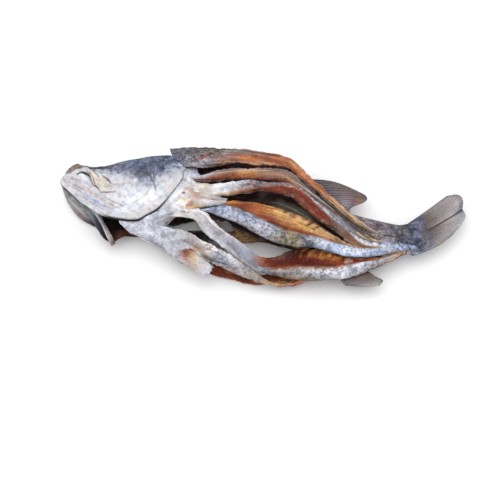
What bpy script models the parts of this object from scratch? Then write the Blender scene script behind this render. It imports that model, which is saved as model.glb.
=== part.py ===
# Dried barramundi, 56 cm long, lying on its right side: the head and the tail stem are
# whole, and between them the flanks are slit lengthwise into strips that bow apart.
# One closed solid. Metres, +Z up, snout at -X, back at +Y, left side up.

import math

import bmesh
import bpy
import numpy as np

MM = 0.001

# Driving dimensions, in millimetres.
MEDIAN_HEIGHT = 28.0        # height of the fish's own middle plane above its rest
STRIP_THICKNESS = 8.0       # near flank: skin with its flesh
FAR_THICKNESS = 5.2         # far flank, pressed flat under the fish
CORE_THICKNESS = 10.0       # dried backbone and the membrane on it
FIN_THICKNESS = 2.2
TAIL_THICKNESS = 2.8
RINGS_PER_STATION = 2       # sections made between two stations of a strip
HEAD_SEGMENTS = 12          # points down one side of the head
NOTCH_SEGMENTS = 4          # points across one side of the throat
JAW_SPLAY = 4.5             # how much lower the right half of the jaw has dried
JAW_END = -225              # x where the jaw ends and the gill cover starts
COVER_TUCK = 5.0            # how much the right gill cover is pressed in, at its middle
COVER_MIDDLE = -176
COVER_REACH = 34            # distance from that middle to where the tuck fades out
BODY_SEGMENTS = 14          # points round the shoulder and the tail stem

# Head and gill cover: x, top of the skull, edge of the jaw and gill cover,
# half width of the cheek, half width at that edge, depth of the throat between the edges.
HEAD_STATIONS = [
    (-281.5, 54, 50, 3.0, 2.5, 0.5),
    (-277, 60, 42, 8.0, 7.0, 3),
    (-271, 70, 34, 12.0, 11.5, 7),
    (-262, 75, 23, 16.0, 15.5, 11),
    (-249, 74, 8, 20.5, 19.5, 15),
    (-235, 74, -4, 23.5, 22.5, 19),
    (-221, 75, -15, 25.5, 24.0, 26),
    (-208, 79, -21, 27.0, 25.0, 34),
    (-194, 84, -25, 28.4, 26.0, 37),
    (-170, 89, -27, 28.9, 26.5, 31),
    (-156, 92, -18, 28.9, 26.5, 15),
    (-138, 93, -7, 28.4, 26.5, 3),
    (-120, 93, 18, 26.0, 24.0, 1),
    (-108, 91, 50, 20.0, 18.0, 1),
]

# Shoulder behind the gill cover, and tail stem: x, upper y, lower y, half thickness, height.
SHOULDER_STATIONS = [
    (-184, 60, -14, 16, 28),
    (-172, 80, -31, 20, 28),
    (-160, 86, -41, 21, 28),
    (-148, 88, -44, 21, 27),
    (-136, 90, -26, 20, 27),
    (-122, 94, -6, 19, 27),
    (-108, 92, 6, 16, 27),
]
TAIL_STEM_STATIONS = [
    (112, 6, -60, 5, 20),
    (130, -1, -62, 8, 23),
    (150, -8, -64, 10, 24),
    (170, -14, -63, 10.5, 24),
    (188, -17, -59, 10, 23),
    (204, -10, -61, 7.5, 22.5),
    (222, 1, -54, 4.0, 22),
    (238, 8, -44, 2.0, 22),
]

# Strips of the near flank, from the back to the belly. A station is the upper edge and the
# lower edge of the strip, or the upper edge, the ridge between flesh and skin, and the lower.
NEAR_STRIPS = {
    "back_strip": [
        ((-130, 107, 31), (-125, 73, 44)), ((-107, 106, 34), (-102, 63, 47)),
        ((-81, 105, 36), (-79, 63, 47)), ((-58, 101, 39), (-56, 67, 46)),
        ((-34, 98, 43), (-34, 72, 45)), ((-5, 90, 49), (-6, 68, 46)),
        ((22, 81, 53), (19, 65, 48)), ((38, 75, 53), (34, 61, 49)),
        ((52, 65, 51), (45, 53, 48)), ((71, 43, 48), (61, 33, 45)),
        ((91, 18, 44), (81, 14, 42)), ((115, -3, 40), (108, -9, 38)),
        ((136, -21, 36), (129, -28, 35)), ((159, -38, 32), (153, -41, 31)),
    ],
    "upper_strip": [
        ((-116, 64, 45), (-110, 36, 47)), ((-88, 52, 46), (-84, 39, 46)),
        ((-67, 56, 47), (-67, 40, 45)), ((-44, 60, 48), (-44, 44, 43)),
        ((-16, 60, 49), (-16, 45, 43)), ((12, 60, 50), (9, 43, 44)),
        ((31, 55, 50), (24, 39, 44)), ((46, 43, 48), (38, 34, 44)),
        ((63, 25, 46), (57, 26, 42)), ((85, 4, 43), (78, 5, 40)),
        ((112, -20, 38), (107, -23, 36)), ((129, -31, 35), (125, -37, 33)),
        ((145, -42, 32), (141, -48, 30)), ((160, -48, 29), (157, -52, 28)),
    ],
    "middle_strip": [
        ((-118, 41, 46), (-118, 16, 48), (-118, 12, 46)),
        ((-81, 38, 46), (-78, 17, 48), (-77, 14, 45)),
        ((-55, 39, 45), (-55, 23, 46), (-55, 19, 43)),
        ((-30, 43, 45), (-30, 26, 45), (-30, 23, 41)),
        ((-8, 42, 46), (-8, 29, 45), (-8, 27, 40)),
        ((14, 39, 46), (11, 31, 45), (11, 27, 40)),
        ((38, 36, 46), (32, 29, 45), (31, 27, 39)),
        ((54, 27, 45), (48, 25, 44), (42, 21, 39)),
        ((67, 17, 44), (61, 16, 43), (51, 8, 38)),
        ((82, 3, 42), (71, 4, 42), (63, -5, 37)),
        ((99, -13, 40), (88, -10, 40), (78, -19, 36)),
        ((117, -27, 37), (102, -24, 38), (92, -31, 34)),
        ((133, -41, 34), (116, -39, 35), (107, -44, 32)),
        ((146, -50, 31), (131, -52, 32), (121, -53, 30)),
        ((160, -53, 28), (146, -59, 29), (136, -59, 28)),
    ],
    "flank_strip": [
        ((-117, 5, 47), (-117, -1, 48), (-117, -12, 46)),
        ((-81, 6, 45), (-80, 0, 47), (-82, -7, 45)),
        ((-52, 11, 42), (-50, 1, 46), (-57, -15, 43)),
        ((-30, 14, 39), (-33, -4, 45), (-35, -24, 41)),
        ((-8, 13, 36), (-14, -14, 44), (-16, -35, 40)),
        ((14, 9, 33), (5, -25, 43), (2, -46, 39)),
        ((39, 1, 31), (27, -36, 42), (22, -54, 38)),
        ((61, -9, 30), (51, -41, 41), (47, -60, 37)),
        ((82, -23, 30), (75, -47, 40), (71, -60, 36)),
        ((103, -39, 30), (99, -54, 38), (95, -67, 34)),
        ((122, -51, 30), (121, -59, 36), (120, -71, 32)),
        ((143, -57, 29), (142, -62, 33), (143, -71, 30)),
        ((166, -53, 28), (167, -57, 29), (170, -65, 27)),
    ],
    "lower_strip": [
        ((-128, 2, 46), (-128, -1, 47), (-139, -16, 45)),
        ((-95, -1, 46), (-98, -5, 47), (-110, -16, 44)),
        ((-76, -8, 44), (-79, -12, 46), (-92, -20, 43)),
        ((-65, -22, 42), (-68, -26, 44), (-81, -37, 41)),
        ((-48, -38, 40), (-50, -42, 42), (-65, -50, 38)),
        ((-26, -53, 37), (-34, -59, 40), (-47, -63, 35)),
        ((-11, -65, 34), (-19, -76, 37), (-29, -77, 32)),
        ((4, -70, 30), (-3, -89, 35), (-9, -90, 30)),
        ((19, -67, 27), (17, -92, 34), (11, -96, 28)),
        ((41, -55, 24), (39, -91, 34), (34, -102, 27)),
        ((62, -52, 23), (61, -90, 34), (58, -105, 26)),
        ((87, -57, 24), (85, -91, 33), (85, -103, 26)),
        ((111, -64, 25), (109, -86, 32), (109, -102, 26)),
        ((135, -68, 26), (131, -80, 31), (128, -96, 26)),
        ((159, -67, 26), (158, -73, 30), (158, -78, 26)),
        ((189, -56, 25), (188, -60, 27), (186, -66, 25)),
    ],
    "belly_strip": [
        ((-173, -25, 44), (-180, -33, 38)), ((-155, -21, 45), (-161, -45, 34)),
        ((-138, -27, 44), (-141, -53, 31)), ((-122, -33, 42), (-124, -66, 27)),
        ((-103, -35, 40), (-107, -78, 25)), ((-85, -46, 38), (-86, -78, 27)),
        ((-68, -54, 36), (-72, -80, 28)), ((-52, -62, 33), (-57, -83, 26)),
        ((-33, -73, 29), (-39, -90, 23)), ((-15, -85, 25), (-21, -97, 20)),
        ((-1, -95, 21), (-6, -102, 17)), ((13, -100, 18), (10, -105, 15)),
        ((32, -101, 17), (32, -106, 14)), ((51, -96, 17), (52, -102, 14)),
        ((75, -88, 18), (75, -94, 15)),
    ],
}

# Backbone with the dark membrane on it, which shows between the strips.
CORE = [
    ((-157, 81, 24), (-154, 5, 24)), ((-121, 94, 20), (-119, 14, 20)),
    ((-80, 106, 18), (-77, 7, 18)), ((-57, 106, 17), (-56, 0, 16)),
    ((-34, 105, 17), (-33, -8, 15)), ((6, 98, 17), (3, -37, 15)), ((35, 86, 17), (36, -47, 15)),
    ((69, 56, 18), (57, -51, 16)), ((102, 21, 19), (86, -56, 17)),
    ((130, -1, 21), (119, -62, 19)), ((163, -12, 23), (160, -64, 21)),
]

# Strips of the far flank, which lie under the others.
FAR_STRIPS = {
    "far_back_strip": [
        ((-145, 100, 14), (-141, 78, 10)), ((-102, 109, 10), (-101, 80, 8)),
        ((-56, 111, 9), (-56, 85, 6)), ((-8, 108, 9), (-9, 81, 6)),
        ((32, 98, 10), (23, 77, 6)), ((58, 76, 10), (41, 60, 6)),
        ((90, 37, 11), (75, 29, 8)), ((123, 3, 13), (112, -6, 10)),
        ((160, -24, 15), (151, -33, 12)),
    ],
    "far_middle_strip": [
        ((-144, 71, 8), (-143, 49, 6)), ((-94, 70, 5), (-94, 43, 4)),
        ((-44, 73, 5), (-44, 47, 4)), ((1, 66, 5), (-2, 40, 4)),
        ((41, 53, 5), (28, 30, 4)), ((75, 22, 6), (58, 4, 4)),
        ((109, -8, 8), (92, -23, 6)), ((151, -39, 14), (140, -48, 12)),
    ],
    "far_flank_strip": [
        ((-157, 34, 8), (-155, -1, 6)), ((-137, 28, 7), (-136, -7, 5)),
        ((-123, 26, 6), (-122, -8, 5)), ((-109, 22, 6), (-108, -1, 5)),
        ((-92, 17, 6), (-93, 3, 5)), ((-75, 12, 6), (-81, -10, 5)),
        ((-55, -10, 6), (-55, -39, 5)), ((-36, -17, 7), (-29, -35, 5)),
        ((-16, -23, 7), (-13, -33, 5)), ((6, -29, 8), (9, -33, 5)),
        ((25, -31, 8), (29, -38, 6)), ((44, -34, 8), (46, -47, 6)),
        ((80, -35, 10), (79, -56, 7)), ((121, -45, 13), (120, -62, 10)),
        ((158, -48, 18), (158, -60, 15)),
    ],
    "far_belly_strip": [
        ((-185, -1, 14), (-185, -16, 12)), ((-155, -10, 10), (-160, -28, 8)),
        ((-124, -16, 8), (-129, -47, 6)), ((-101, -15, 7), (-98, -64, 5)),
        ((-81, -15, 7), (-84, -73, 5)), ((-66, -30, 7), (-67, -84, 4)),
        ((-48, -49, 7), (-45, -90, 4)), ((-26, -70, 7), (-25, -96, 4)),
        ((-7, -86, 8), (-7, -99, 4)),
        ((13, -81, 8), (13, -96, 5)), ((41, -72, 9), (40, -94, 6)),
        ((76, -67, 10), (76, -91, 7)), ((113, -65, 12), (112, -88, 9)),
        ((147, -60, 17), (147, -71, 14)), ((174, -54, 20), (174, -60, 18)),
    ],
}

# Isthmus, the narrow throat that hangs between the gill covers: path, and width along it.
ISTHMUS_PATH = [(-236, 16, 28), (-224, -4, 28), (-212, -28, 27), (-202, -47, 25)]
ISTHMUS_WIDTH = [16, 11, 8, 9]
ISTHMUS_THICKNESS = 6.0

# Fins: outline in the plan, and the height at the root and at the tip.
FINS = {
    "second_dorsal_fin": dict(
        outline=[(62, 57), (74, 60), (95, 58), (121, 42), (143, 34), (149, 25), (138, 19),
                 (127, 15), (128, 4), (118, -4), (98, 8)],
        root=(80, 36, 24.0), tip=(146, 27, 26.0), thickness=FIN_THICKNESS),
    "anal_fin": dict(
        outline=[(98, -92), (104, -101), (110, -107), (125, -111), (142, -112), (154, -109),
                 (161, -100), (147, -96), (142, -88), (134, -82), (118, -84)],
        root=(122, -86, 25.0), tip=(150, -106, 20.0), thickness=FIN_THICKNESS),
    "pectoral_fin": dict(
        outline=[(-108, 20), (-99, 26), (-81, 33), (-51, 33), (-44, 10), (-52, 0), (-80, -2),
                 (-96, -5), (-108, 0)],
        root=(-104, 12, 47.0), tip=(-46, 14, 51.0), thickness=FIN_THICKNESS),
    "pelvic_fin": dict(
        outline=[(-104, -56), (-88, -60), (-74, -66), (-62, -79), (-57, -92), (-63, -103),
                 (-80, -99), (-97, -88), (-106, -76)],
        root=(-97, -66, 34.0), tip=(-62, -94, 29.0), thickness=FIN_THICKNESS),
    "far_pelvic_fin": dict(
        outline=[(-110, -42), (-92, -48), (-74, -56), (-66, -70), (-72, -80), (-92, -74),
                 (-110, -62)],
        root=(-104, -50, 6.0), tip=(-68, -74, 3.0), thickness=FIN_THICKNESS),
    "tail_fin": dict(
        outline=[(199, -34), (201, -11), (236, 13), (245, 21), (257, 29), (268, 35), (272, 36),
                 (278, 31), (281, 21), (281, 8), (280, -2), (276, -15), (264, -27), (251, -37),
                 (231, -50), (214, -60), (205, -64), (197, -63)],
        root=(210, -34, 22.0), tip=(278, 8, 22.0), thickness=TAIL_THICKNESS),
}


def smooth(stations, per_span):
    """Points on the Catmull-Rom curve through the stations, which may be of any shape."""
    values = np.asarray(stations, dtype=float)
    padded = np.concatenate([2 * values[:1] - values[1:2], values, 2 * values[-1:] - values[-2:-1]])
    result = []
    for i in range(len(values) - 1):
        before, start, end, after = padded[i:i + 4]
        for k in range(per_span):
            t = k / per_span
            result.append(0.5 * (2 * start + (end - before) * t
                                 + (2 * before - 5 * start + 4 * end - after) * t ** 2
                                 + (3 * start - before - 3 * end + after) * t ** 3))
    result.append(values[-1])
    return np.array(result)


def add_object(name, bm):
    """Turn a bmesh in millimetres into an object in metres, with its faces pointing out."""
    bmesh.ops.remove_doubles(bm, verts=bm.verts, dist=0.01)
    bmesh.ops.recalc_face_normals(bm, faces=bm.faces)
    bmesh.ops.scale(bm, vec=(MM, MM, MM), verts=bm.verts)
    bmesh.ops.triangulate(bm, faces=bm.faces)
    mesh = bpy.data.meshes.new(name)
    bm.to_mesh(mesh)
    bm.free()
    piece = bpy.data.objects.new(name, mesh)
    bpy.context.scene.collection.objects.link(piece)
    return piece


def loft(name, rings):
    """A closed body through rings that all have the same number of points."""
    bm = bmesh.new()
    loops = [[bm.verts.new(point) for point in ring] for ring in rings]
    count = len(loops[0])
    for first, second in zip(loops, loops[1:]):
        for k in range(count):
            after = (k + 1) % count
            bm.faces.new((first[k], first[after], second[after], second[k]))
    bm.faces.new(list(reversed(loops[0])))
    bm.faces.new(loops[-1])
    return add_object(name, bm)


def strip(name, stations, thickness):
    """A ribbon between an upper and a lower edge, with a ridge between them."""
    full = []
    for station in stations:
        upper, lower = np.array(station[0], float), np.array(station[-1], float)
        crown = np.array((0, 0, 0.08 * np.linalg.norm(upper - lower)))
        ridge = np.array(station[1], float) if len(station) == 3 else (upper + lower) / 2 + crown
        full.append((upper, ridge, lower))
    curve = smooth(full, RINGS_PER_STATION)
    along = np.gradient(curve.mean(axis=1), axis=0)
    across = curve[:, 2] - curve[:, 0]
    outward = np.cross(across, along)
    outward /= np.linalg.norm(outward, axis=1)[:, None]
    rings = []
    for (upper, ridge, lower), normal in zip(curve, outward):
        middle = (upper + lower) / 2
        rings.append([upper, ridge, lower, lower - 0.7 * thickness * normal,
                      middle - thickness * normal, upper - 0.7 * thickness * normal])
    return loft(name, rings)


def head():
    """Skull, cheeks, jaws and gill covers: rings that hang from the back to the two lower
    edges and turn up between them into the throat."""
    rings = []
    for x, top, edge, width, edge_width, throat in smooth(HEAD_STATIONS, RINGS_PER_STATION):
        side = []
        for k in range(HEAD_SEGMENTS + 1):
            t = k / HEAD_SEGMENTS
            y = top + (edge - top) * t ** 1.35
            bulge = math.sin(min(t / 0.5, 1) * math.pi / 2) ** 0.8
            narrowing = (width - edge_width) * max(0, (t - 0.5) / 0.5) ** 2
            side.append((y, width * bulge - narrowing))
        for k in range(1, NOTCH_SEGMENTS + 1):
            t = k / NOTCH_SEGMENTS
            side.append((edge + throat * math.sin(t * math.pi / 2), (edge_width - 2) * (1 - t)))
        splay = JAW_SPLAY * min(max((JAW_END - x) / 30, 0), 1)
        splay -= COVER_TUCK * max(1 - ((x - COVER_MIDDLE) / COVER_REACH) ** 2, 0)
        left = [(x, y, MEDIAN_HEIGHT + z) for y, z in side]
        right = [(x, y - splay * z / width, MEDIAN_HEIGHT - z) for y, z in side[1:-1]]
        rings.append(left + right[::-1])
    return loft("head", rings)


def rounded_body(name, stations):
    """Rings of a flattened oval, given by x, upper y, lower y, half thickness and height."""
    rings = []
    for x, upper, lower, half, height in smooth(stations, RINGS_PER_STATION):
        ring = []
        for k in range(BODY_SEGMENTS):
            angle = 2 * math.pi * k / BODY_SEGMENTS
            spread = math.copysign(abs(math.sin(angle)) ** 0.75, math.sin(angle))
            ring.append((x, (upper + lower) / 2 + (upper - lower) / 2 * math.cos(angle),
                         height + half * spread))
        rings.append(ring)
    return loft(name, rings)


def isthmus():
    """A flat bar that follows its path and changes its width."""
    path = smooth(ISTHMUS_PATH, RINGS_PER_STATION)
    widths = smooth([[w] for w in ISTHMUS_WIDTH], RINGS_PER_STATION)[:, 0]
    along = np.gradient(path, axis=0)
    along /= np.linalg.norm(along, axis=1)[:, None]
    rings = []
    for point, width, tangent in zip(path, widths, along):
        side = np.cross(tangent, (0, 0, 1))
        rings.append([point + 0.5 * ISTHMUS_THICKNESS * math.sin(a) * side
                      + 0.5 * width * math.cos(a) * np.array((0, 0, 1))
                      for a in np.linspace(0, 2 * math.pi, 8, endpoint=False)])
    return loft("isthmus", rings)


def fin(name, outline, root, tip, thickness):
    """A flat outline with its thickness, raised evenly from the root to the tip."""
    curve = bpy.data.curves.new(name, "CURVE")
    curve.dimensions = "2D"
    curve.fill_mode = "BOTH"
    curve.extrude = thickness / 2
    spline = curve.splines.new("POLY")
    spline.points.add(len(outline) - 1)
    for point, (x, y) in zip(spline.points, outline):
        point.co = (x, y, 0, 1)
    spline.use_cyclic_u = True
    holder = bpy.data.objects.new(name, curve)
    bpy.context.scene.collection.objects.link(holder)
    depsgraph = bpy.context.evaluated_depsgraph_get()
    flat = bpy.data.meshes.new_from_object(holder.evaluated_get(depsgraph))
    bpy.data.objects.remove(holder)
    bm = bmesh.new()
    bm.from_mesh(flat)
    reach = np.array(tip[:2], float) - np.array(root[:2], float)
    for vert in bm.verts:
        share = np.dot(np.array(vert.co[:2]) - root[:2], reach) / np.dot(reach, reach)
        vert.co.z += root[2] + (tip[2] - root[2]) * share
    bpy.data.meshes.remove(flat)
    return add_object(name, bm)


def apply_boolean(target, other, operation):
    """Join or cut the target with the other object, which is then removed."""
    modifier = target.modifiers.new(operation.lower(), "BOOLEAN")
    modifier.operation = operation
    modifier.solver = "EXACT"
    modifier.object = other
    depsgraph = bpy.context.evaluated_depsgraph_get()
    mesh = bpy.data.meshes.new_from_object(target.evaluated_get(depsgraph))
    target.modifiers.clear()
    target.data = mesh
    bpy.data.objects.remove(other)


def rest_cutter():
    """A slab whose top is just above the lowest skin, so that it leaves small flats."""
    bm = bmesh.new()
    bmesh.ops.create_cube(bm, size=1)
    bmesh.ops.scale(bm, vec=(800, 500, 40), verts=bm.verts)
    bmesh.ops.translate(bm, vec=(0, 0, -20), verts=bm.verts)
    return add_object("rest_cutter", bm)


def dried_skin():
    """Salted, dried skin: grey, rough, not metallic."""
    material = bpy.data.materials.new("dried_fish_skin")
    material.use_nodes = True
    surface = material.node_tree.nodes["Principled BSDF"]
    surface.inputs["Base Color"].default_value = (0.42, 0.37, 0.34, 1)
    surface.inputs["Roughness"].default_value = 0.6
    surface.inputs["Metallic"].default_value = 0
    return material


def main():
    for existing in list(bpy.data.objects):
        bpy.data.objects.remove(existing)
    fish = head()
    parts = [rounded_body("shoulder", SHOULDER_STATIONS), strip("core", CORE, CORE_THICKNESS),
             rounded_body("tail_stem", TAIL_STEM_STATIONS), isthmus()]
    parts += [strip(name, stations, FAR_THICKNESS) for name, stations in FAR_STRIPS.items()]
    parts += [strip(name, stations, STRIP_THICKNESS) for name, stations in NEAR_STRIPS.items()]
    parts += [fin(name, **settings) for name, settings in FINS.items()]
    for part in parts:
        apply_boolean(fish, part, "UNION")
    apply_boolean(fish, rest_cutter(), "DIFFERENCE")
    fish.name = "dried_barramundi"
    fish.data.name = "dried_barramundi"
    fish.data.materials.clear()
    fish.data.materials.append(dried_skin())
    fish.data.shade_smooth()
    fish.data.set_sharp_from_angle(angle=math.radians(40))
    collection = bpy.data.collections.new("dried_barramundi")
    bpy.context.scene.collection.children.link(collection)
    bpy.context.scene.collection.objects.unlink(fish)
    collection.objects.link(fish)


main()
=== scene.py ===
# Dried barramundi lying on its right side, slit into strips between head and tail stem.
# Units in the shape functions are millimetres in the frame of the CAD: snout at -X,
# back at +Y, left side up. Every surface is a grid worked out with numpy.
import math

import bpy
import numpy as np
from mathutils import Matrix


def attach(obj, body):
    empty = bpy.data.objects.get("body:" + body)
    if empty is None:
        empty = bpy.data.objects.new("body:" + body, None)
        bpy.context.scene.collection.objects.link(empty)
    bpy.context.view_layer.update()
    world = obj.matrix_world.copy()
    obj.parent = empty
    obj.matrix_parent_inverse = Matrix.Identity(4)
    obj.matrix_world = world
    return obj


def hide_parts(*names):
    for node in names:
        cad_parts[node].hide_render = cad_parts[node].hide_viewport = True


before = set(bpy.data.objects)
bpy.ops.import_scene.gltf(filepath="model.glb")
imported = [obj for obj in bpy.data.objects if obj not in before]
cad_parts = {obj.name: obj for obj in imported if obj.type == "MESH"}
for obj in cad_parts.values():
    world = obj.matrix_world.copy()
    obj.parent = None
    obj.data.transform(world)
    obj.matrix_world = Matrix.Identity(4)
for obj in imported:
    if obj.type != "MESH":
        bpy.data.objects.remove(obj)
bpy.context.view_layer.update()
fishNode = "dried_barramundi"
mm = 0.001
perMetre = 1000  # a pattern's scale is this over its cell size in mm
medianHeight = 28.0  # the fish's own middle plane above the table
tableGap = 0.3  # no surface comes nearer to the table
print("frame loaded")


def hexToLinear(code):
    # sRGB hex to linear light
    raw = np.array([int(code[k:k + 2], 16) / 255 for k in (0, 2, 4)])
    return np.where(raw <= 0.04045, raw / 12.92, ((raw + 0.055) / 1.055) ** 2.4)


def smoothStep(low, high, value):
    t = np.clip((value - low) / (high - low), 0, 1)
    return t * t * (3 - 2 * t)


def latticeValue(cell, seed):
    # one repeatable number in -1..1 for each whole-number cell: its coordinates times large primes,
    # mixed bit by bit
    c = cell.astype(np.int64)
    mixed = (c[..., 0] * 73856093) ^ (c[..., 1] * 19349663) ^ (c[..., 2] * 83492791) ^ (seed * 2654435)
    mixed = ((mixed ^ (mixed >> 13)) * 1274126177) & 0xffffffff
    mixed = ((mixed ^ (mixed >> 15)) * 2246822519) & 0xffffffff
    return ((mixed ^ (mixed >> 16)) & 0xffff) / 32767.5 - 1


def cloud(points, size, seed=0, octaves=3):
    # value noise in -1..1: corners of a cube lattice blended by a smooth fade, summed by octaves
    total = 0
    weight = 0
    for octave in range(octaves):
        p = np.asarray(points, float) / (size / 2 ** octave)
        base = np.floor(p)
        f = p - base
        f = f * f * (3 - 2 * f)
        value = 0
        for corner in np.ndindex(2, 2, 2):
            part = np.where(corner, f, 1 - f)
            value = value + latticeValue(base + corner, seed + 17 * octave) * (part[..., 0] * part[..., 1]) \
                * part[..., 2]
        total = total + value * 0.5 ** octave
        weight += 0.5 ** octave
    return total / weight


def streaks(along, across, longSize, shortSize, seed):
    # noise drawn out along the fibre: long cells one way, short cells the other
    p = np.stack([along / longSize, across / shortSize, np.zeros_like(along)], axis=-1)
    return cloud(p, 1.0, seed, 3)


def curveThrough(stations, t):
    # Catmull-Rom curve through the stations, read at t in 0..1
    values = np.asarray(stations, float)
    padded = np.concatenate([2 * values[:1] - values[1:2], values, 2 * values[-1:] - values[-2:-1]])
    spans = len(values) - 1
    place = np.clip(np.asarray(t, float) * spans, 0, spans - 1e-9)
    k = place.astype(int)
    f = (place - k).reshape((-1,) + (1,) * (values.ndim - 1))
    before, start, end, after = (padded[k + n] for n in range(4))
    return 0.5 * (2 * start + (end - before) * f + (2 * before - 5 * start + 4 * end - after) * f ** 2
                  + (3 * start - before - 3 * end + after) * f ** 3)


palette = {  # sRGB hex of the fish's own skin, flesh, bone and membranes; soot and pitch also serve as painted shade in gaps and undersides
    "frost": "dadce4", "silver": "b9bcc6", "pearl": "cfcbcb", "bone": "d6cfc5", "cream": "cfc3a9",
    "blush": "c4a9a2", "lavender": "a1a2b0", "steel": "858894", "slate": "636572", "ink": "393b47",
    "navy": "23283a", "teal": "3f5060", "ash": "928c8c", "pebble": "716a69", "olive": "7d735f",
    "moss": "5a5649", "straw": "cfb27e", "gold": "ca9852", "amber": "bf7f49", "peach": "c2977a",
    "copper": "9f5c36", "rust": "7e3b24", "blood": "56180b", "umber": "482920", "soot": "1c1614",
    "haze": "a3b2cd", "mist": "9297ac", "denim": "6a748b", "storm": "465064", "rose": "9f6a5a",
    "mauve": "857178", "taupe": "786860", "clay": "96745e", "tan": "aa8d73", "snow": "f2f2f5",
    "dusk": "5f6376", "gloam": "434758", "fog": "bcb5b4", "pitch": "0e0b0b", "wine": "7a2e18",
    "honey": "dab479", "salmon": "b67553", "lichen": "828c89"}


def readStops(text):
    # "silver, .2 slate, 1 ink" gives the places 0, .2 and 1 and their linear colours; numbers
    # may stand for the colours, and a lone word holds all along
    pairs = [("0 " + part).split()[-2:] for part in text.split(",")]
    places = np.array([float(place) for place, word in pairs])
    if pairs[0][1] in palette:
        return places, np.array([hexToLinear(palette[word]) for place, word in pairs])
    return places, np.array([float(word) for place, word in pairs])


def stopsAt(text, t):
    # colours or numbers at t, blended in a straight line between the stops
    places, values = readStops(text)
    if values.ndim == 2:
        return np.stack([np.interp(t, places, values[:, k]) for k in range(3)], axis=-1)
    return np.interp(t, places, values)


def field(rows, s, u):
    # rows of stops along s, blended across u: gives an (s, u) grid of colours or numbers; a
    # lone text holds all across
    if isinstance(rows, str):
        rows = ((0, rows), (1, rows))
    levels = np.array([row[0] for row in rows], float)
    values = np.array([stopsAt(row[1], s) for row in rows])
    k = np.clip(np.searchsorted(levels, u, side="right") - 1, 0, len(levels) - 2)
    f = np.clip((u - levels[k]) / (levels[k + 1] - levels[k]), 0, 1)
    f = f.reshape((-1,) + (1,) * (values.ndim - 1))
    blended = values[k] * (1 - f) + values[k + 1] * f
    return np.swapaxes(blended, 0, 1)


def toSegment(x, y, start, end):
    # distance in plan from each point to a straight piece, and how far along it the nearest spot is
    step = end - start
    f = np.clip(((x - start[0]) * step[0] + (y - start[1]) * step[1]) / (step @ step + 1e-9), 0, 1)
    return np.hypot(x - start[0] - f * step[0], y - start[1] - f * step[1]), f


def distanceToPath(x, y, path, samples=36):
    # shortest distance in plan from each point to a smooth line through the path's points
    points = curveThrough(path, np.linspace(0, 1, samples)) if len(path) > 2 else np.array(path, float)
    best, place = np.full(x.shape, 1e9), np.zeros(x.shape)
    for k in range(len(points) - 1):
        gap, f = toSegment(x, y, points[k], points[k + 1])
        place = np.where(gap < best, (k + f) / (len(points) - 1), place)
        best = np.minimum(best, gap)
    return best, place


def blendIn(tint, colour, share):
    # tint x (1 - share) + colour x share
    share = share[..., None]
    return tint * (1 - share) + hexToLinear(palette[colour]) * share


def line(path, width, colour, blend=1.0, core=0.25, ragged=0.15, rise=0.0, taper=0.5):
    # a smooth line in plan, width mm to each side and narrower to its ends by taper; blend is how
    # much it covers, core the even middle, ragged the unrest of its edge, rise its height in mm
    return dict(path=path, width=width, colour=colour, blend=blend, core=core, ragged=ragged,
                rise=rise, taper=taper)


def spot(x, y, length, width, colour, turn=0, blend=1.0, core=0.0, ragged=1.0, rise=0.0):
    # an oval in plan, by its middle, half length, half width and turn in degrees
    return dict(spot=(x, y), size=(length, width), colour=colour, turn=math.radians(turn),
                blend=blend, core=core, ragged=ragged, rise=rise)


def applyMarks(marks, x, y, tint, depth, seed, amount=1.0):
    # each mark is a line or a spot in plan that colours the skin and raises or sinks it
    wander = cloud(np.stack([x, y, np.zeros_like(x)], axis=-1), 9.0, seed, 2)
    for mark in marks:
        if "path" in mark:
            gap, place = distanceToPath(x, y, mark["path"])
            width = mark["width"] * (1 - mark["taper"] * np.abs(2 * place - 1) ** 2)
        else:
            turn, dx, dy = mark["turn"], x - mark["spot"][0], y - mark["spot"][1]
            along = (dx * math.cos(turn) + dy * math.sin(turn)) / mark["size"][0]
            across = (-dx * math.sin(turn) + dy * math.cos(turn)) / mark["size"][1]
            gap, width = np.hypot(along, across), 1.0
        gap = gap / width + mark["ragged"] * wander
        mask = np.clip(1 - smoothStep(mark["core"], 1.0, gap), 0, 1) * amount
        tint = blendIn(tint, mark["colour"], mask * mark["blend"])
        depth = depth + mask * mark["rise"]
    return tint, depth


def unit(vectors):
    return vectors / (np.linalg.norm(vectors, axis=-1, keepdims=True) + 1e-9)


def normalsOf(grid, closed=True):
    # unit normals of a grid surface: cross product of the slopes along its two parameters
    if closed:
        around = (np.roll(grid, -1, axis=1) - np.roll(grid, 1, axis=1)) / 2
    else:
        around = np.gradient(grid, axis=1)
    return unit(np.cross(np.gradient(grid, axis=0), around))


def facesOut(grid, normal):
    # whether a closed tube's normals point away from the line down its middle
    return ((grid - grid.mean(axis=1, keepdims=True)) * normal).sum() > 0


def raised(grid, relief):
    # a closed tube moved along its outward normals by relief in mm
    normal = normalsOf(grid)
    return grid + (normal if facesOut(grid, normal) else -normal) * relief[..., None]


def addToScene(name, data):
    thing = bpy.data.objects.new(name, data)
    bpy.context.scene.collection.objects.link(thing)
    return thing


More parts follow.
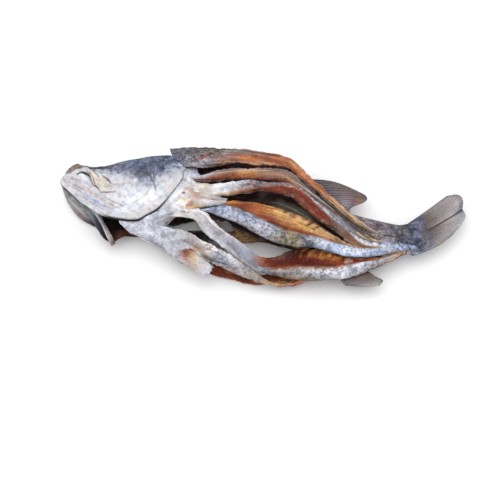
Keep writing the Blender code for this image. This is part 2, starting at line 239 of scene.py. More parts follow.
def gridObject(name, grid, tint, numbers, flow, material):
    # rows by columns of points in mm become a closed tube of quads with a filled ring at each end
    if not facesOut(grid, normalsOf(grid)):  # run the columns the other way: the faces then point out
        grid, tint = grid[:, ::-1], tint[:, ::-1]
        numbers = {key: value[:, ::-1] for key, value in numbers.items()}
        flow = [part[:, ::-1] for part in flow]
    rows, cols = grid.shape[:2]
    i, j = np.meshgrid(np.arange(rows - 1), np.arange(cols), indexing="ij")
    after = (j + 1) % cols
    loops = np.stack([i * cols + j, (i + 1) * cols + j, (i + 1) * cols + after, i * cols + after], -1)
    steps = ((i, j), (i + 1, j), (i + 1, j + 1), (i, j + 1))
    flow = np.stack(flow, -1)
    uv = np.stack([flow[place] for place in steps], -2)
    first, last = np.arange(cols), np.arange(cols)[::-1]
    loops = np.concatenate([loops.reshape(-1), first, (rows - 1) * cols + last])
    uv = np.concatenate([uv.reshape(-1, 2), flow[0, first], flow[-1, last]])
    quadCount = (rows - 1) * cols
    starts = np.append(np.arange(quadCount) * 4, [quadCount * 4, quadCount * 4 + cols])
    totals = np.append(np.full(quadCount, 4), [cols, cols])
    grid = np.concatenate([grid[..., :2], np.maximum(grid[..., 2:], tableGap)], axis=-1)
    tint = np.concatenate([np.clip(tint, 0, 1), np.ones(tint.shape[:2] + (1,))], axis=-1)
    mesh = bpy.data.meshes.new(name)
    mesh.vertices.add(rows * cols)
    mesh.loops.add(len(loops))
    mesh.polygons.add(len(starts))
    values = [(mesh.vertices, "co", grid * mm, np.float32),
              (mesh.loops, "vertex_index", loops, np.int32),
              (mesh.polygons, "loop_start", starts, np.int32),
              (mesh.polygons, "loop_total", totals, np.int32),
              (mesh.polygons, "use_smooth", np.ones(len(starts)), bool)]
    for target, key, value, kind in values:
        target.foreach_set(key, np.ascontiguousarray(value, kind).reshape(-1))
    mesh.update(calc_edges=True)
    mesh.uv_layers.new(name="flow").data.foreach_set("uv", (uv * mm).astype(np.float32).reshape(-1))
    for key, value in {"tint": tint, **numbers}.items():
        layer = mesh.attributes.new(key, "FLOAT_COLOR" if key == "tint" else "FLOAT", "POINT")
        layer.data.foreach_set("color" if key == "tint" else "value",
                               np.ascontiguousarray(value, np.float32).reshape(-1))
    mesh.materials.append(material)
    mesh.validate()
    piece = addToScene(name, mesh)
    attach(piece, "root")
    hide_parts(fishNode)
    return piece


def flowOf(grid):
    # lengths along and across a closed tube in mm, with one more column where it closes
    full = np.concatenate([grid, grid[:, :1]], axis=1)
    along = np.concatenate([[0], np.cumsum(np.linalg.norm(np.diff(full, axis=0), axis=-1).mean(axis=1))])
    around = np.cumsum(np.linalg.norm(np.diff(full, axis=1), axis=-1), axis=1)
    across = np.concatenate([np.zeros((len(full), 1)), around], axis=1)
    return np.repeat(along[:, None], full.shape[1], axis=1), across


def addNode(tree, kind, settings):
    # adds a node and returns it; a setting that is a socket is linked in, any other is set
    node = tree.nodes.new("ShaderNode" + kind)
    for key, value in settings.items():
        if hasattr(value, "is_linked"):
            tree.links.new(value, node.inputs[key])
        elif isinstance(key, str) and hasattr(node, key):
            setattr(node, key, value)
        else:
            node.inputs[key].default_value = value
    return node


def driedFish(name, look):
    # salted, air-dried fish: skin is matt and mottled with small scale pockets, flesh is
    # fibrous with a slight oily shine; the tint attribute holds the broad colour
    material = bpy.data.materials.new(name)
    material.use_nodes = True
    tree = material.node_tree
    shader = tree.nodes["Principled BSDF"]
    tint, flesh, scales = (addNode(tree, "Attribute", {"attribute_name": key})
                           for key in ("tint", "flesh", "scales"))
    tint, flesh, scales = tint.outputs["Color"], flesh.outputs["Fac"], scales.outputs["Fac"]
    flow = addNode(tree, "UVMap", {"uv_map": "flow"}).outputs["UV"]
    inPlace = addNode(tree, "TexCoord", {}).outputs["Object"]
    stretch = (look["fibreWidth"] / look["fibreLength"], 1, 1)
    drawnOut = addNode(tree, "Mapping", {"Vector": flow, "Scale": stretch}).outputs[0]
    # cell size in mm, octaves, the noise values that become 0 and 1, and where it is read
    patterns = {"fibre": (look["fibreWidth"], 4.0, 0.34, 0.66, drawnOut),
                "bundle": (look["fibreWidth"] * 2.6, 2.0, 0.36, 0.64, drawnOut),
                "crumble": (look["grainSize"] * 0.9, 3.0, 0.34, 0.6, inPlace),
                "mottle": (look["mottleSize"], 5.0, 0.38, 0.54, inPlace),
                "speck": (look["grainSize"], 2.0, 0.38, 0.52, inPlace),
                "worn": (look["scaleSize"] * 1.6, 2.0, 0.4, 0.6, inPlace),
                "bloom": (look["grainSize"] * 1.5, 4.0, 0.56, 0.72, inPlace)}
    level = {}
    for part, (size, octaves, low, high, place) in patterns.items():
        cells = addNode(tree, "TexNoise", {"Vector": place, "Scale": perMetre / size, "Detail": octaves,
                                           "Roughness": 0.62})
        level[part] = addNode(tree, "MapRange", {"Value": cells.outputs["Fac"], "From Min": low,
                                                 "From Max": high}).outputs[0]
    # scale pockets: cells about scaleSize across with a dark rim, worn away here and there
    pocketMap = addNode(tree, "Mapping", {"Vector": flow, "Scale": (1, 1.25, 1)}).outputs[0]
    pocket = addNode(tree, "TexVoronoi", {"Vector": pocketMap, "feature": "DISTANCE_TO_EDGE",
                                          "Scale": perMetre / look["scaleSize"], "Randomness": 0.95})
    rim = addNode(tree, "MapRange", {"Value": pocket.outputs["Distance"], "From Min": -0.05,
                                     "From Max": 0.14}).outputs[0]
    rimShown = addNode(tree, "Mix", {0: level["worn"], 2: rim, 3: 1.0}).outputs[0]
    rimLight = addNode(tree, "Mix", {0: scales, 2: 1.0, 3: rimShown}).outputs[0]
    speckLight = addNode(tree, "Mix", {0: scales, 2: 1.0, 3: level["speck"]}).outputs[0]
    pattern = addNode(tree, "Math", {"operation": "MULTIPLY", 0: rimLight, 1: speckLight}).outputs[0]
    patched = addNode(tree, "Math", {"operation": "MULTIPLY", 0: pattern, 1: level["mottle"]}).outputs[0]
    skinLevel = addNode(tree, "Mix", {0: 0.5, 2: pattern, 3: patched}).outputs[0]
    skinShade = addNode(tree, "Mix", {"data_type": "RGBA", 0: skinLevel, 6: look["skinDark"],
                                      7: look["skinLight"]}).outputs[2]
    # a thin bloom of dried salt, paler and bluer than the skin
    pale = addNode(tree, "RGBToBW", {"Color": tint}).outputs[0]
    paleShare = addNode(tree, "MapRange", {"Value": pale, "From Min": 0.02, "From Max": 0.4,
                                           "To Max": look["bloom"]}).outputs[0]
    bloomPlace = addNode(tree, "Mix", {0: flesh, 2: paleShare, 3: look["bloom"] * 0.12}).outputs[0]
    bloomShare = addNode(tree, "Math", {"operation": "MULTIPLY", 0: level["bloom"],
                                        1: bloomPlace}).outputs[0]
    grain = addNode(tree, "Mix", {0: 0.4, 2: level["fibre"], 3: level["bundle"]}).outputs[0]
    fleshLevel = addNode(tree, "Mix", {0: 0.3, 2: grain, 3: level["crumble"]}).outputs[0]
    fleshShade = addNode(tree, "Mix", {"data_type": "RGBA", 0: fleshLevel, 6: look["fleshDark"],
                                       7: look["fleshLight"]}).outputs[2]
    shade = addNode(tree, "Mix", {"data_type": "RGBA", 0: flesh, 6: skinShade, 7: fleshShade}).outputs[2]
    base = addNode(tree, "Mix", {"data_type": "RGBA", "blend_type": "MULTIPLY", 0: 1.0, 6: tint,
                                 7: shade}).outputs[2]
    salted = addNode(tree, "Mix", {"data_type": "RGBA", 0: bloomShare, 6: base,
                                   7: look["bloomTint"]}).outputs[2]
    rough = addNode(tree, "Mix", {0: flesh, 2: look["skinRough"], 3: look["fleshRough"]}).outputs[0]
    uneven = addNode(tree, "Math", {"operation": "MULTIPLY_ADD", 0: level["speck"], 1: 0.2,
                                    2: rough}).outputs[0]
    skinHeight = addNode(tree, "Math", {"operation": "MULTIPLY_ADD", 0: level["mottle"], 1: 0.5,
                                        2: rimLight}).outputs[0]
    height = addNode(tree, "Mix", {0: flesh, 2: skinHeight, 3: fleshLevel}).outputs[0]
    bump = addNode(tree, "Bump", {"Height": height, "Strength": look["bump"],
                                  "Distance": look["bumpDepth"] * mm}).outputs[0]
    for key, result in (("Base Color", salted), ("Roughness", uneven), ("Normal", bump)):
        tree.links.new(result, shader.inputs[key])
    shader.inputs["Specular IOR Level"].default_value = look["specular"]
    return material


def rgba(r, g, b):
    return (r, g, b, 1.0)


# sizes in mm; the dark and light shades multiply the tint, so they may pass 1
bodyLook = {"fibreLength": 30, "fibreWidth": 3.0, "mottleSize": 11, "grainSize": 3.4, "scaleSize": 6.5,
            "skinDark": rgba(0.19, 0.18, 0.21), "skinLight": rgba(1.3, 1.3, 1.31),
            "fleshDark": rgba(0.31, 0.19, 0.14), "fleshLight": rgba(1.46, 1.39, 1.29),
            "bloom": 0.6, "bloomTint": rgba(0.84, 0.85, 0.89),
            "skinRough": 0.5, "fleshRough": 0.4, "bump": 0.7, "bumpDepth": 1.2, "specular": 0.2}
headLook = dict(bodyLook, mottleSize=8, scaleSize=4.5, skinDark=rgba(0.42, 0.42, 0.48),
                skinLight=rgba(1.09, 1.09, 1.09), bump=0.35, bumpDepth=0.6, skinRough=0.45, bloom=0.5,
                bloomTint=rgba(0.84, 0.85, 0.88), specular=0.12)
finLook = dict(bodyLook, fibreLength=45, fibreWidth=2.0, fleshDark=rgba(0.42, 0.38, 0.40),
               fleshLight=rgba(1.15, 1.15, 1.15), fleshRough=0.45, bump=0.6, bumpDepth=0.5,
               mottleSize=7, bloom=0.08)
innerLook = dict(bodyLook, fibreLength=40, fibreWidth=4, mottleSize=14, skinDark=rgba(0.3, 0.25, 0.22),
                 bloom=0.0, fleshDark=rgba(0.3, 0.25, 0.22), fleshLight=rgba(1, 1, 1), skinRough=0.6,
                 fleshRough=0.6, specular=0.08)
bodyMaterial = driedFish("saltedDriedSkinAndFlesh", bodyLook)   # matt grey skin, fibrous amber flesh
headMaterial = driedFish("saltedDriedHeadSkin", headLook)       # thin skin tight over bone, paler
finMaterial = driedFish("driedFinRays", finLook)                # bony rays with brittle web between
innerMaterial = driedFish("driedBodyMembrane", innerLook)       # blackened lining of the body wall; its pieces are near black, partly as painted shade in the gaps
print("materials made")


def ringWeights(corners, samples):
    # closed cubic B-spline over the corners, each taken twice so that the bends stay fairly tight
    count = corners * 2
    weights = np.zeros((len(samples), count))
    for row, place in enumerate(samples * 2):
        k = int(math.floor(place))
        f = place - k
        basis = ((1 - f) ** 3 / 6, (3 * f ** 3 - 6 * f ** 2 + 4) / 6,
                 (-3 * f ** 3 + 3 * f ** 2 + 3 * f + 1) / 6, f ** 3 / 6)
        for n in range(4):
            weights[row, (k - 1 + n) % count] += basis[n]
    return weights.reshape(len(samples), corners, 2).sum(axis=2)


plainStrip = {"crown": 0.1, "step": 1.1, "perSide": (22, 22, 6, 8, 8, 6), "ragged": 0.8, "relief": "1",
              "patchy": ".35", "scales": "0", "cracks": 0.55, "film": 0.45, "crumbs": 0.45,
              "myomeres": (), "marks": (), "material": bodyMaterial}  # a strip's own values override these
warmth = np.array((0.8, 1.0, 1.15))  # how far each channel follows the flesh's bundles
plainMyomeres = {"tip": 0.5, "bend": 1.0, "wobble": 0.25, "shift": 0}
# mm along and across the strip
grainSizes = {"fibre": (34, 2.6), "bundle": (60, 6.5), "crack": (46, 3.0), "crumb": (7, 3.4)}


def makeStrip(name, spec):
    # a ribbon carried along two edge curves and the ridge between them; its thickness hangs
    # below along the ribbon's own normal, and fibres, folds and scale relief move its surface
    spec = {**plainStrip, **spec}
    stations = []
    for station in spec["stations"]:
        upper, lower = np.array(station[0], float), np.array(station[-1], float)
        crown = np.array((0, 0, spec["crown"] * np.linalg.norm(upper - lower)))
        ridge = np.array(station[1], float) if len(station) == 3 else (upper + lower) / 2 + crown
        stations.append((upper, ridge, lower))
    stations = np.array(stations)
    length = np.linalg.norm(np.diff(stations.mean(axis=1), axis=0), axis=1).sum()
    s = np.linspace(0, 1, int(length / spec["step"]))
    edges = curveThrough(stations, s)
    seed, arc, ragged = spec["seed"], s * length, spec["ragged"]
    side = unit(edges[:, 2] - edges[:, 0])
    for k in range(3):  # torn edges: waves of 11 and 5 mm sideways and 16 mm up and down
        place = np.stack([arc, np.full_like(arc, 40.0 * k), np.zeros_like(arc)], axis=-1)
        sway = cloud(place, 11, seed + k, 3) + 1.3 * cloud(place, 5.0, seed + 31 + k, 4)
        edges[:, k] += side * (ragged * sway)[:, None]
        edges[:, k, 2] += 0.8 * ragged * cloud(place, 16, seed + 7 + k, 2)
    across = edges[:, 2] - edges[:, 0]
    outward = unit(np.cross(across, np.gradient(edges.mean(axis=1), axis=0)))
    thick = stopsAt(spec["thickness"], s)[:, None]
    upper, ridge, lower = edges[:, 0], edges[:, 1], edges[:, 2]
    corners = np.stack([upper, ridge, lower, lower - 0.75 * thick * outward - 0.12 * across,
                        (upper + lower) / 2 - thick * outward,
                        upper - 0.75 * thick * outward + 0.12 * across], axis=1)
    u = np.concatenate([np.linspace(k, k + 1, n, endpoint=False) for k, n in enumerate(spec["perSide"])])
    grid = np.einsum("mk,nkc->nmc", ringWeights(6, u), corners)
    flow = flowOf(grid)
    a, b = flow[0][:, :-1], flow[1][:, :-1]
    flesh, scales = (np.clip(field(spec[key], s, u), 0, 1) for key in ("flesh", "scales"))
    tint = field(spec["tints"], s, u)

    def grain(kind, offset):
        return streaks(a, b, *grainSizes[kind], seed + offset)

    def along(key):
        return stopsAt(spec[key], s)[:, None]

    # relief in mm: fibres and bundles on the flesh, slow folds everywhere
    fibres, bundles = grain("fibre", 3), grain("bundle", 5)
    relief = flesh * (0.55 * fibres + 0.7 * bundles) + (1 - flesh) * 0.3 * fibres
    relief = relief + 0.6 * cloud(grid, 19, seed + 4, 2) + 0.5 * cloud(grid, 4.5, seed + 21, 2)
    relief = relief * along("relief")
    tint = tint * (1 + 0.34 * (flesh * bundles)[..., None] * warmth)
    # dark cracks, a thin dull film, and pale crumbs of flesh along the two hems
    hem = np.exp(-((u - 2) / 0.2) ** 2) + np.exp(-(np.minimum(u, 6 - u) / 0.2) ** 2)
    cracks = smoothStep(0.22, 0.5, grain("crack", 6)) * flesh * spec["cracks"]
    film = smoothStep(0.0, 0.55, cloud(grid * (0.6, 1, 1), 8, seed + 41, 4)) * flesh * spec["film"]
    crumbs = smoothStep(0.1, 0.5, grain("crumb", 12)) * hem * flesh * spec["crumbs"]
    for share, colour, rise in ((cracks, "umber", -0.5), (film, "mauve", 0), (crumbs, "tan", 0.6)):
        tint = blendIn(tint, colour, share)
        relief = relief + rise * share
    relief = relief + 1.3 * hem * cloud(grid, 6.0, seed + 14, 4)
    for row in spec["myomeres"]:  # rows of slanting muscle edges, evenly spaced along
        row = {**plainMyomeres, **row}
        start, end, low, high = (row[key] for key in ("start", "end", "low", "high"))
        phase = (s[:, None] - start) / (end - start) * row["count"] \
            - row["lean"] * np.abs(u - row["tip"]) ** row["bend"] \
            + row["wobble"] * cloud(grid, 12, seed + 8, 3) + row["shift"]
        pulse = np.exp(-((phase - np.round(phase)) / row["width"]) ** 2)
        inside = (smoothStep(start, start + 0.04, s) * (1 - smoothStep(end - 0.04, end, s)))[:, None] \
            * smoothStep(low - 0.1, low + 0.1, u) * (1 - smoothStep(high - 0.1, high + 0.1, u))
        tint = blendIn(tint, row["colour"], pulse * inside * row["blend"])
        relief = relief - pulse * inside * row["depth"]
    onTop = np.broadcast_to(1 - smoothStep(2.1, 2.4, u) + smoothStep(5.7, 5.95, u), relief.shape)
    tint, relief = applyMarks(spec["marks"], grid[..., 0], grid[..., 1], tint, relief, seed, onTop)
    grid = raised(grid, relief)
    tint = tint * (1 + (along("patchy") * cloud(grid, 13, seed + 9, 3))[..., None])
    return gridObject(name, grid, tint, {"flesh": flesh, "scales": scales}, flow, spec["material"])


# painted shade: the strips' side walls darken and their undersides turn soot, where shadow falls under them
paintedShadeUnder = (
    (2.6, "umber, .3 rust, .7 rust, 1 umber"), (3.2, "soot"), (5, "soot"),
    (5.6, "umber, .3 rust, .7 rust, 1 umber"))
fleshUnder = ((2.4, "1"), (5.6, "1"))

backStrip = {
    "seed": 11, "thickness": ".5 7, 1 5", "ragged": 0.9,
    "stations": [
        ((-130, 103, 36), (-124, 81, 45.5), (-112, 61, 51)),
        ((-107, 104, 37), (-104, 84, 47.5), (-98, 61, 51.5)), ((-81, 105, 36), (-79, 62, 48)),
        ((-58, 101, 39), (-56, 67, 46)), ((-34, 98, 43), (-34, 72, 45)), ((-5, 90, 49), (-6, 68, 46)),
        ((22, 81, 53), (19, 65, 48)), ((38, 75, 53), (34, 61, 49)), ((52, 64.5, 51), (45, 53, 48)),
        ((68, 45.5, 48), (60, 37, 45)), ((85, 29, 46), (77, 21.5, 43)), ((103, 11, 43), (96, 5, 41)),
        ((122, -7, 40), (115.5, -13, 38.5)), ((142, -25.5, 37.5), (137, -29.5, 36.5)),
        ((164, -39, 34), (162, -41, 33.5))],
    "tints": (
        (0, ".25 pebble, .36 umber, .5 taupe, .56 copper, .7 copper, .85 umber, 1 slate"),
        (0.2, "slate, .08 pebble, .15 pebble, .23 mauve, .33 mauve, .42 rose, .48 clay, .54 peach, "
              ".69 clay, .85 tan, .93 bone, 1 slate"),
        (0.5, "slate, .1 pebble, .2 pebble, .28 ash, .35 mauve, .42 rose, .5 salmon, .56 tan, "
              ".64 salmon, .74 amber, .82 straw, .92 cream, 1 pebble"),
        (0.85, ".08 slate, .13 pebble, .18 pebble, .25 ash, .3 ash, .4 salmon, .5 salmon, .56 gold, "
               ".62 salmon, .7 amber, .8 tan, .92 cream, 1 pebble"),
        (1.3, "slate, .08 pebble, .15 ash, .2 taupe, .26 rose, .34 salmon, .4 rose, .47 salmon, "
              ".54 tan, .62 salmon, .69 salmon, .78 tan, .88 tan, 1 slate"),
        (1.7, "slate, .12 lavender, .17 ash, .23 clay, .3 amber, .38 copper, .69 copper, .8 tan, "
              ".9 clay, 1 slate"),
        (1.95, "steel, .12 ash, .2 umber, .28 rust, .38 tan, .47 copper, .54 rust, .69 umber, "
               ".82 umber, .92 moss, 1 slate"),
        # painted shade: from the lower edge on, the side wall and underside darken to soot
        (2.3, "slate, .13 pebble, .2 umber, .3 rust, .6 umber, 1 soot"), (2.7, "slate, .1 umber, 1 soot"),
        (3.2, "soot"), (5, "soot"), (5.5, "slate, .2 pebble, .34 umber, .6 umber, 1 soot")),
    "flesh": (
        (0, ".3 0, .45 1, 1 .6"), (0.5, "0, .22 .1, .36 1, .95 1, 1 0"),
        (1.2, ".14 0, .26 1, .95 1, 1 0"), (2.2, ".16 0, .24 1, .95 1, 1 0"), (2.7, "1"), (5, "1"),
        (5.6, ".3 0, .45 1, 1 .6")),
    "scales": (
        (0, ".3 1, .4 0"), (0.8, ".2 1, .28 0"), (1.8, ".18 1, .24 0"), (3, "0"), (6, ".3 1, .4 0")),
    "marks": (
        line(((-104, 72), (-92, 76), (-78, 83), (-66, 91), (-60, 96)), 3.2, "wine", 0.75,
             ragged=0.7, rise=-0.8),
        line(((-96, 80), (-84, 86), (-72, 94)), 1.6, "taupe", 0.7, rise=-0.4),
        line(((-128, 103), (-90, 103), (-50, 98), (-10, 88), (24, 78)), 1.6, "umber", 0.75,
             rise=-0.3, taper=0.1),
        line(((-76, 78), (-58, 83), (-40, 86), (-14, 82), (10, 76)), 1.5, "rust", 0.6, rise=-0.4),
        line(((-88, 68), (-66, 71), (-46, 74), (-20, 73)), 1.0, "pearl", 0.5, ragged=0.7, rise=0.4),
        line(((86, 20), (104, 3), (124, -16)), 0.8, "umber", 0.7, rise=-0.5))}

upperStrip = {
    "seed": 23, "thickness": ".5 6, 1 5", "crown": 0.12, "ragged": 1.0,
    "stations": [
        ((-116, 64, 45), (-110, 36, 47)), ((-88, 52, 46), (-84, 39, 46)), ((-67, 56, 47), (-67, 40, 45)),
        ((-44, 60, 48), (-44, 44, 43)), ((-16, 60, 49), (-16, 45, 43)), ((12, 61, 49), (9, 43, 44)),
        ((34, 59, 47.5), (26, 40, 45)), ((50, 47, 46.5), (40, 34, 44.5)),
        ((67, 31, 44.5), (57, 23, 43.5)), ((87, 13, 42.5), (76, 5, 42)),
        ((110, -6.5, 39), (100, -16, 39.5)), ((127, -21, 36.5), (115, -31, 36.5)),
        ((142, -35, 36), (133, -43, 35.5)), ((155, -44, 35), (150, -49, 34)),
        ((167, -46, 33.5), (165, -48, 33))],
    "tints": (
        (0, "lavender, .08 slate, .2 pebble, .38 pebble, .54 mauve, .62 ash, .8 steel, .92 umber, "
            "1 steel"),
        (0.3, "silver, .08 steel, .15 mauve, .25 taupe, .34 mauve, .42 pebble, .62 pebble, .7 moss, "
              ".85 moss, .94 umber, 1 lavender"),
        (0.7, "silver, .08 lavender, .15 clay, .21 clay, .28 gold, .33 clay, .4 mauve, .48 taupe, "
              ".55 pebble, .62 moss, .8 moss, .9 umber, 1 lavender"),
        (1.1, "silver, .08 ash, .14 mauve, .2 clay, .27 gold, .34 tan, .42 clay, .5 taupe, .6 moss, "
              ".72 umber, .8 moss, .88 tan, .94 copper, 1 lavender"),
        (1.55, "lavender, .08 mauve, .14 rust, .2 copper, .27 amber, .33 clay, .5 clay, .6 taupe, "
               ".7 pebble, .8 slate, .88 olive, .94 straw, 1 lavender"),
        (1.9, "mauve, .1 umber, .2 blood, .3 rust, .4 blood, .5 rust, .56 mauve, .66 ash, .8 steel, "
              ".92 moss, 1 steel"),
        (2.3, "umber, .15 soot")) + paintedShadeUnder,
    "flesh": (
        (0, ".12 0, .3 .2, .5 0, .6 .5, .9 .4, 1 0"),
        (0.8, "0, .12 .3, .2 1, .4 1, .5 .5, .65 .6, .9 .5, 1 0"),
        (1.8, "0, .1 .5, .16 1, .5 1, .65 .5, 1 .2")) + fleshUnder,
    "scales": ((1, ".6 0, .7 .5, 1 .6"), (2, "0")),
    "marks": (
        line(((-84, 50), (-60, 53), (-34, 57), (-4, 57), (16, 56)), 1.4, "pearl", 0.55, ragged=0.9,
             rise=0.5),
        line(((-96, 43), (-80, 43), (-62, 44), (-44, 48)), 1.2, "umber", rise=-0.7),
        line(((36, 46), (56, 32), (78, 14), (98, -4)), 1.0, "pearl", 0.55, ragged=0.6, rise=0.4),
        # the soot and pitch lines are painted shadow: the dark band along the strip's upper edge, under the
        # back strip
        line(((64, 22), (84, 4), (104, -14)), 1.5, "soot", 0.5, rise=-0.6),
        line(((58, 38), (78, 19), (96, 2), (114, -14), (136, -32)), 1.6, "pitch", 0.9, ragged=0.3,
             rise=-1.0),
        line(((118, -22), (130, -33), (144, -44)), 2.2, "ink", 0.8, rise=-0.7),
        line(((128, -35), (136, -41.5), (144, -47)), 1.5, "straw", 0.65, rise=0.4))}

middleStrip = {
    "seed": 37, "thickness": ".5 6, 1 5", "ragged": 0.9,
    "stations": [
        ((-118, 41, 46), (-118, 16, 48), (-118, 12, 46)), ((-81, 38, 46), (-78, 17, 48), (-77, 14, 45)),
        ((-55, 39, 45), (-55, 23, 46), (-55, 19, 43)), ((-30, 43, 45), (-30, 26, 45), (-30, 23, 41)),
        ((-8, 42, 46), (-8, 29, 45), (-8, 27, 40)), ((14, 39, 46), (11, 31, 45), (11, 27, 40)),
        ((36, 38, 46), (33, 31, 46), (31, 22, 40)), ((54, 31, 45.5), (50, 27, 45.5), (43, 17, 39)),
        ((71, 15, 44), (67, 12.5, 44), (54, 6, 38)), ((86, 0, 42.5), (81, -2, 42.5), (67, -7, 37)),
        ((101, -15, 40.5), (95, -16, 40.5), (81, -20, 36)),
        ((118, -29, 37.5), (109, -29, 38.5), (97, -32, 34)),
        ((136, -43, 34), (122, -42, 35), (111, -44, 32)),
        ((149, -49, 34), (135, -53, 34.5), (122, -54, 31)),
        ((164, -49, 33), (151, -56, 33.5), (139, -60, 29)),
        ((180, -50, 31.5), (172, -54, 31.5), (163, -57, 29))],
    "tints": (
        (0, "silver, .1 bone, .16 silver, .24 ash, .32 mauve, .5 mauve, .6 pebble, .75 steel, "
            ".93 lavender"),
        (0.4, "silver, .07 bone, .12 frost, .18 silver, .24 ash, .3 mauve, .36 mauve, .43 taupe, "
              ".5 mauve, .57 pebble, .7 steel, .8 mist, .93 silver"),
        (0.85, "silver, .07 bone, .12 frost, .17 silver, .23 mauve, .33 taupe, .4 mauve, .45 tan, "
               ".5 taupe, .55 ash, .62 lavender, .71 mist, .79 silver, .86 frost, 1 silver"),
        (1.1, "pearl, .14 frost, .2 tan, .29 wine, .4 wine, .5 rose, .56 taupe, .64 mauve, .74 taupe, "
              ".82 clay, .9 tan, 1 silver"),
        (1.5, "pearl, .14 cream, .2 clay, .26 umber, .36 rust, .45 rust, .5 wine, .64 wine, .71 taupe, "
              ".79 clay, .87 clay, .93 tan, 1 silver"),
        (1.9, "pearl, .14 olive, .2 copper, .26 umber, .36 rust, .45 umber, .5 rust, .6 rust, "
              ".71 umber, .8 taupe, .9 clay, .95 slate, 1 silver"),
        (2.3, "tan, .2 umber, .5 soot, .8 umber, 1 steel")) + paintedShadeUnder,
    "flesh": (
        (0, ".3, .12 .35, .2 0"), (0.95, ".3, .12 .35, .2 0"), (1.15, ".16 .3, .22 1, .95 1, 1 0"),
        (2, ".16 .3, .2 1, .95 1, 1 0")) + fleshUnder,
    "scales": (
        (0, "0, .14 .3, .25 .7, .6 .7, 1 .6"), (0.9, "0, .14 .2, .25 .7, .6 .8, 1 .6"),
        (1.1, ".2, .14 0"), (5.6, "0"), (6, "0, .14 .3, .25 .7, .6 .8, 1 .6")),
    "marks": (
        # the frost line is painted highlight along the strip's raised edge
        line(((52, 29), (69, 13), (84, -2), (98, -16)), 0.9, "frost", 0.45, ragged=0.9, rise=0.5),
        line(((-48, 34), (-26, 36), (4, 35)), 1.2, "taupe", 0.6, ragged=0.9))}

